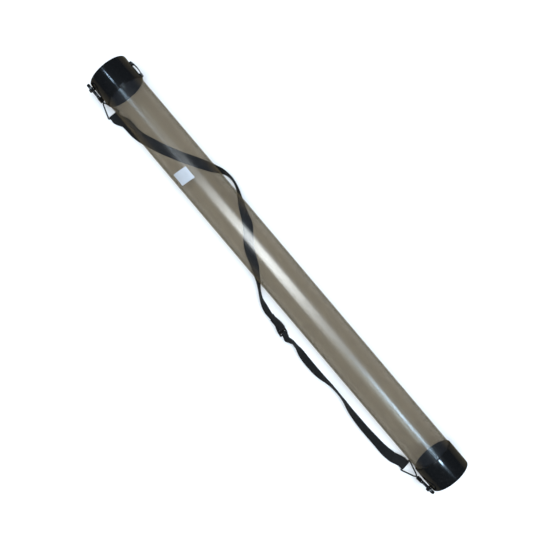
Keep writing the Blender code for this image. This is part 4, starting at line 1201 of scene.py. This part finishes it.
def webbing_section():
    """The webbing's section: (across, rise) points right round it."""
    upper = []
    for index in range(SECTION_COLUMNS):
        share = -1.0 + 2.0 * index / (SECTION_COLUMNS - 1)
        crown = max(0.0, 1.0 - abs(share) ** SECTION_POWER)
        rise = STRAP_THICK / 2 * (SECTION_EDGE + SECTION_CROWN * crown)
        upper.append((share * STRAP_WIDTH / 2 * SECTION_SPAN, rise))
    return upper + [(across, -rise) for across, rise in reversed(upper)]


def grown_tree(name, sizes, shape):
    """A tree of geometry nodes that ends in real geometry with its material."""

    def fill(tree, given):
        grown = shape(tree, given)
        real = result(tree, "GeometryNodeRealizeInstances", {"Geometry": grown})
        coating = {"Geometry": real, "Material": given["Material"]}
        return {"Geometry": result(tree, "GeometryNodeSetMaterial", coating)}

    inputs = [("Geometry", "Geometry"), *sizes, ("Material", "Material")]
    outputs = [("Geometry", "Geometry")]
    return shared_tree(name, "GeometryNodeTree", inputs, outputs, fill)


def rib_tree():
    """Geometry nodes that raise the webbing's cross ribs by its own measure."""

    def shape(tree, given):
        kind = "GeometryNodeInputNamedAttribute"
        measure = add_node(tree, kind, {"Name": "along"}, data_type="FLOAT")
        turns = maths(tree, "DIVIDE", measure.outputs["Attribute"], given["Rib Pitch"])
        rise = maths(tree, "MULTIPLY", wave(tree, turns), given["Rib Height"])
        push = {0: result(tree, "GeometryNodeInputNormal"), "Scale": rise}
        offset = result(tree, "ShaderNodeVectorMath", push, operation="SCALE")
        moved = {"Geometry": given["Geometry"], "Offset": offset}
        return result(tree, "GeometryNodeSetPosition", moved)

    sizes = [("Rib Pitch", "Float"), ("Rib Height", "Float")]
    return grown_tree("webbing_ribs", sizes, shape)


def stitch_tree():
    """Geometry nodes that lay a stitch at each step along seam lines."""

    def shape(tree, given):
        curve = result(tree, "GeometryNodeMeshToCurve", {"Mesh": given["Geometry"]})
        steps = {"Curve": curve, "Length": given["Stitch Pitch"]}
        bead = {"Segments": 8, "Rings": 6, "Radius": 1.0}
        along = {"Vector": result(tree, "GeometryNodeInputTangent")}
        laid = {
            "Points": result(tree, "GeometryNodeResampleCurve", steps, mode="LENGTH"),
            "Instance": result(tree, "GeometryNodeMeshUVSphere", bead),
            "Rotation": result(
                tree, "FunctionNodeAlignRotationToVector", along, axis="X"
            ),
            "Scale": given["Stitch Size"],
        }
        stitches = result(tree, "GeometryNodeInstanceOnPoints", laid)
        return result(tree, "GeometryNodeSetShadeSmooth", {"Geometry": stitches})

    sizes = [("Stitch Pitch", "Float"), ("Stitch Size", "Vector")]
    return grown_tree("sewn_stitches", sizes, shape)


def grow(piece, tree, material, **sizes):
    """Run a geometry tree on a piece with its named inputs, then apply it."""
    values = {"Material": material, **named(sizes)}
    step = piece.modifiers.new(tree.name, "NODES")
    step.node_group = tree
    for socket in tree.interface.items_tree:
        if socket.in_out == "INPUT" and socket.name in values:
            step[socket.identifier] = values[socket.name]
    apply_modifiers(piece)
    faces = piece.data.polygons
    faces.foreach_set("material_index", [0] * len(faces))


def woven_strip(name, node, stations, material):
    """Webbing through stations, ribbed, with a UV map in metres."""
    settings = look().webbing
    rows = fine_rows(stations, settings.rib_pitch / 4)
    section = webbing_section()
    shape = bmesh.new()
    uv_layer = shape.loops.layers.uv.new("strap_uv")
    measure = shape.verts.layers.float.new("along")
    rings = []
    for place, width, normal, distance in rows:
        ring = []
        for across, rise in section:
            vert = shape.verts.new(place + width * across + normal * rise)
            vert[measure] = distance
            ring.append(vert)
        rings.append(ring)
    for row in range(len(rings) - 1):
        for column in range(len(section)):
            after = (column + 1) % len(section)
            corners = [(row, column), (row, after), (row + 1, after), (row + 1, column)]
            face = shape.faces.new([rings[ring][vert] for ring, vert in corners])
            for loop, (ring, vert) in zip(face.loops, corners):
                loop[uv_layer].uv = (rows[ring][3], section[vert][0])
    shape.faces.new(rings[0])
    shape.faces.new(rings[-1][::-1])
    bmesh.ops.recalc_face_normals(shape, faces=shape.faces)
    for face in shape.faces:
        face.smooth = True
    strip = link_object(name, mesh_of(shape, name))
    ribs = {"Rib_Pitch": settings.rib_pitch, "Rib_Height": settings.rib_height}
    grow(strip, rib_tree(), material, **ribs)
    dress(strip, "holder", material, node)
    return strip


def seam_lines(layer, side_hint):
    """A sewn box with a cross, as lines lying just on a layer's outer face."""
    rows = fine_rows(layer, 1.0 * MM)
    start, stop = SEAM_START, rows[-1][3] - SEAM_STOP
    half = STRAP_WIDTH / 2 - SEAM_INSET
    rise = STRAP_THICK / 2 * SEAM_SINK

    def on_layer(along, across):
        spot = min(range(len(rows) - 1), key=lambda index: abs(rows[index][3] - along))
        place, width, normal, at = rows[spot]
        heading = (rows[spot + 1][0] - place).normalized()
        lift = towards(normal, side_hint) * rise
        return place + heading * (along - at) + width * across + lift

    corners = [(start, -half), (start, half), (stop, half), (stop, -half)]
    lines = []
    for first, second in ((0, 1), (1, 2), (2, 3), (3, 0), (0, 2), (1, 3)):
        near, far = corners[first], corners[second]
        line = []
        for index in range(SEAM_STEPS + 1):
            along = near[0] + (far[0] - near[0]) * index / SEAM_STEPS
            across = near[1] + (far[1] - near[1]) * index / SEAM_STEPS
            line.append(on_layer(along, across))
        lines.append(line)
    return lines


def sew(name, seams, material):
    """The stitches of some seams, as one piece."""
    shape = bmesh.new()
    for layer, side_hint in seams:
        for line in seam_lines(layer, side_hint):
            verts = [shape.verts.new(place) for place in line]
            for pair in zip(verts, verts[1:]):
                shape.edges.new(pair)
    stitches = link_object(name, mesh_of(shape, name))
    pitch = look().webbing.stitch
    size = (pitch * STITCH_SHARE, STITCH_WIDTH, STITCH_HEIGHT)
    grow(stitches, stitch_tree(), material, Stitch_Pitch=pitch, Stitch_Size=size)
    dress(stitches, "holder", material)
    return stitches


def cord_path(stations):
    """The points that a length of webbing follows."""
    return [tuple(row[0]) for row in fine_rows(stations, 3.0 * MM)]


def build_strap():
    """Both lengths of webbing with their seams, and the adjuster."""
    black = black_plastic("slider_black", 0.34, grain=0.08)
    slider = finish_part("strap_slider", "holder", black)
    cloth, sewing = webbing_cloth(), thread()
    upper, upper_seams, upper_back = upper_webbing()
    lower, lower_seams = lower_webbing(upper_back)
    upper_strip = woven_strip("strap_upper_woven", "strap_upper", upper, cloth)
    lower_strip = woven_strip("strap_lower_woven", "strap_lower", lower, cloth)
    upper_stitches = sew("strap_upper_stitches", upper_seams, sewing)
    lower_stitches = sew("strap_lower_stitches", lower_seams, sewing)
    upper_path, lower_path = cord_path(upper), cord_path(lower)


# The stage


def mirrored_as(tree, shade, mirrored):
    """A colour that mirror rays see as another: a painted reflection, so that black
    plastic stays black.
    """
    rays = add_node(tree, "ShaderNodeLightPath")
    return mix_colour(tree, rays.outputs["Is Glossy Ray"], shade, mirrored)


def build_floor():
    """The plain pale floor, a little below the object."""
    shape = bmesh.new()
    bmesh.ops.create_grid(shape, x_segments=4, y_segments=4, size=6.0)
    made, tree, shader = new_material("pale_floor")
    colour = look().stage.floor
    cloud = noise(tree, object_place(tree), 3.0)
    shade = mix_colour(tree, cloud, colour, brighter(colour, 1.01))
    principled = {
        # Painted reflection: mirror rays see the pale floor as dark brown
        "Base Color": mirrored_as(tree, shade, (0.15, 0.12, 0.075)), "Roughness": 0.9,
        "Specular IOR Level": 0.1,
    }
    feed(tree, shader, principled)
    floor = link_object("stage_floor", mesh_of(shape, "floor"))
    floor.data.materials.append(made)
    floor.location.z = -FLOOR_GAP


def build_lights():
    """The pale room and its rectangular lamps, each facing its target."""
    world = bpy.data.worlds.new("pale_room")
    world.use_nodes = True
    tree = world.node_tree
    # Painted reflection: mirror rays see the pale room as nearly black and blue-tinted
    shade = mirrored_as(tree, (0.70, 0.71, 0.72), (0.022, 0.028, 0.038))
    feed(tree, tree.nodes["Background"], {"Color": shade})
    bpy.context.scene.world = world
    for name, place, target, size, power, colour in LAMPS:
        lamp = bpy.data.lights.new(name, "AREA")
        lamp.shape = "RECTANGLE"
        lamp.size, lamp.size_y = size
        lamp.energy = power * look().stage.light
        lamp.color = colour
        aim = Vector(target) - Vector(place)
        along = X_WAY - aim * (aim.x / aim.length_squared)
        link_object(name, lamp).matrix_world = frame_matrix(Vector(place), along, -aim)


def build_camera():
    """The camera at the photograph's viewing angle."""
    bpy.context.scene.view_settings.view_transform = "Standard"
    lens = bpy.data.cameras.new("photo_camera")
    lens.lens = VIEW_LENS
    lens.sensor_width = 36.0
    lens.clip_start = 0.01
    camera = link_object("photo_camera", lens)
    up = Z_WAY.cross(VIEW_RIGHT)
    turn = Matrix((VIEW_RIGHT, up, Z_WAY)).transposed().to_4x4()
    camera.matrix_world = Matrix.Translation((*VIEW_CENTRE, VIEW_HEIGHT)) @ turn
    bpy.context.scene.camera = camera


# Operators and panel


class HOLDER_OT_tube(Operator):
    """Build the clear tube and its paper label"""

    bl_idname = "holder.tube"
    bl_label = "Build tube and label"

    def execute(self, context):
        build_tube()
        build_label()
        return {"FINISHED"}


class HOLDER_OT_ends(Operator):
    """Build the mouth collar and the closed end cap with their eyelets"""

    bl_idname = "holder.ends"
    bl_label = "Build black ends"

    def execute(self, context):
        build_ends()
        return {"FINISHED"}


class HOLDER_OT_catch(Operator):
    """Build the sprung ball catch with its pin and spring"""

    bl_idname = "holder.catch"
    bl_label = "Build ball catch"

    def execute(self, context):
        build_catch()
        return {"FINISHED"}


class HOLDER_OT_hooks(Operator):
    """Build both snap hooks with their gates, springs and swivel loops"""

    bl_idname = "holder.hooks"
    bl_label = "Build hooks"

    def execute(self, context):
        build_hooks()
        return {"FINISHED"}


class HOLDER_OT_strap(Operator):
    """Weave and sew both lengths of strap and build the adjuster"""

    bl_idname = "holder.strap"
    bl_label = "Build strap"

    def execute(self, context):
        build_strap()
        return {"FINISHED"}


class HOLDER_OT_stage(Operator):
    """Build the floor, the lamps and the camera of the photograph"""

    bl_idname = "holder.stage"
    bl_label = "Build stage"

    def execute(self, context):
        build_floor()
        build_lights()
        build_camera()
        return {"FINISHED"}


STEPS = (
    HOLDER_OT_stage, HOLDER_OT_strap, HOLDER_OT_tube, HOLDER_OT_ends, HOLDER_OT_catch,
    HOLDER_OT_hooks,
)


class HOLDER_PT_panel(Panel):
    """Steps and settings of the ball holder"""

    bl_idname = "HOLDER_PT_panel"
    bl_label = "Ball Holder"
    bl_space_type = "VIEW_3D"
    bl_region_type = "UI"
    bl_category = "Ball Holder"

    def draw(self, context):
        settings = context.scene.holder_look
        for part in (settings.tube, settings.plastic, settings.webbing, settings.stage):
            box = self.layout.box()
            for prop in part.bl_rna.properties:
                if prop.identifier not in ("rna_type", "name"):
                    box.prop(part, prop.identifier)
        for step in STEPS:
            self.layout.operator(step.bl_idname)


CLASSES = (
    TubeLook, PlasticLook, WebbingLook, StageLook, HolderLook, *STEPS, HOLDER_PT_panel,
)


def register():
    for item in CLASSES:
        bpy.utils.register_class(item)
    bpy.types.Scene.holder_look = PointerProperty(type=HolderLook)


def unregister():
    del bpy.types.Scene.holder_look
    for item in reversed(CLASSES):
        bpy.utils.unregister_class(item)


def main():
    """Register the add-on and run its steps in order."""
    register()
    for step in STEPS:
        group, action = step.bl_idname.split(".")
        getattr(getattr(bpy.ops, group), action)()


if __name__ == "__main__":
    main()
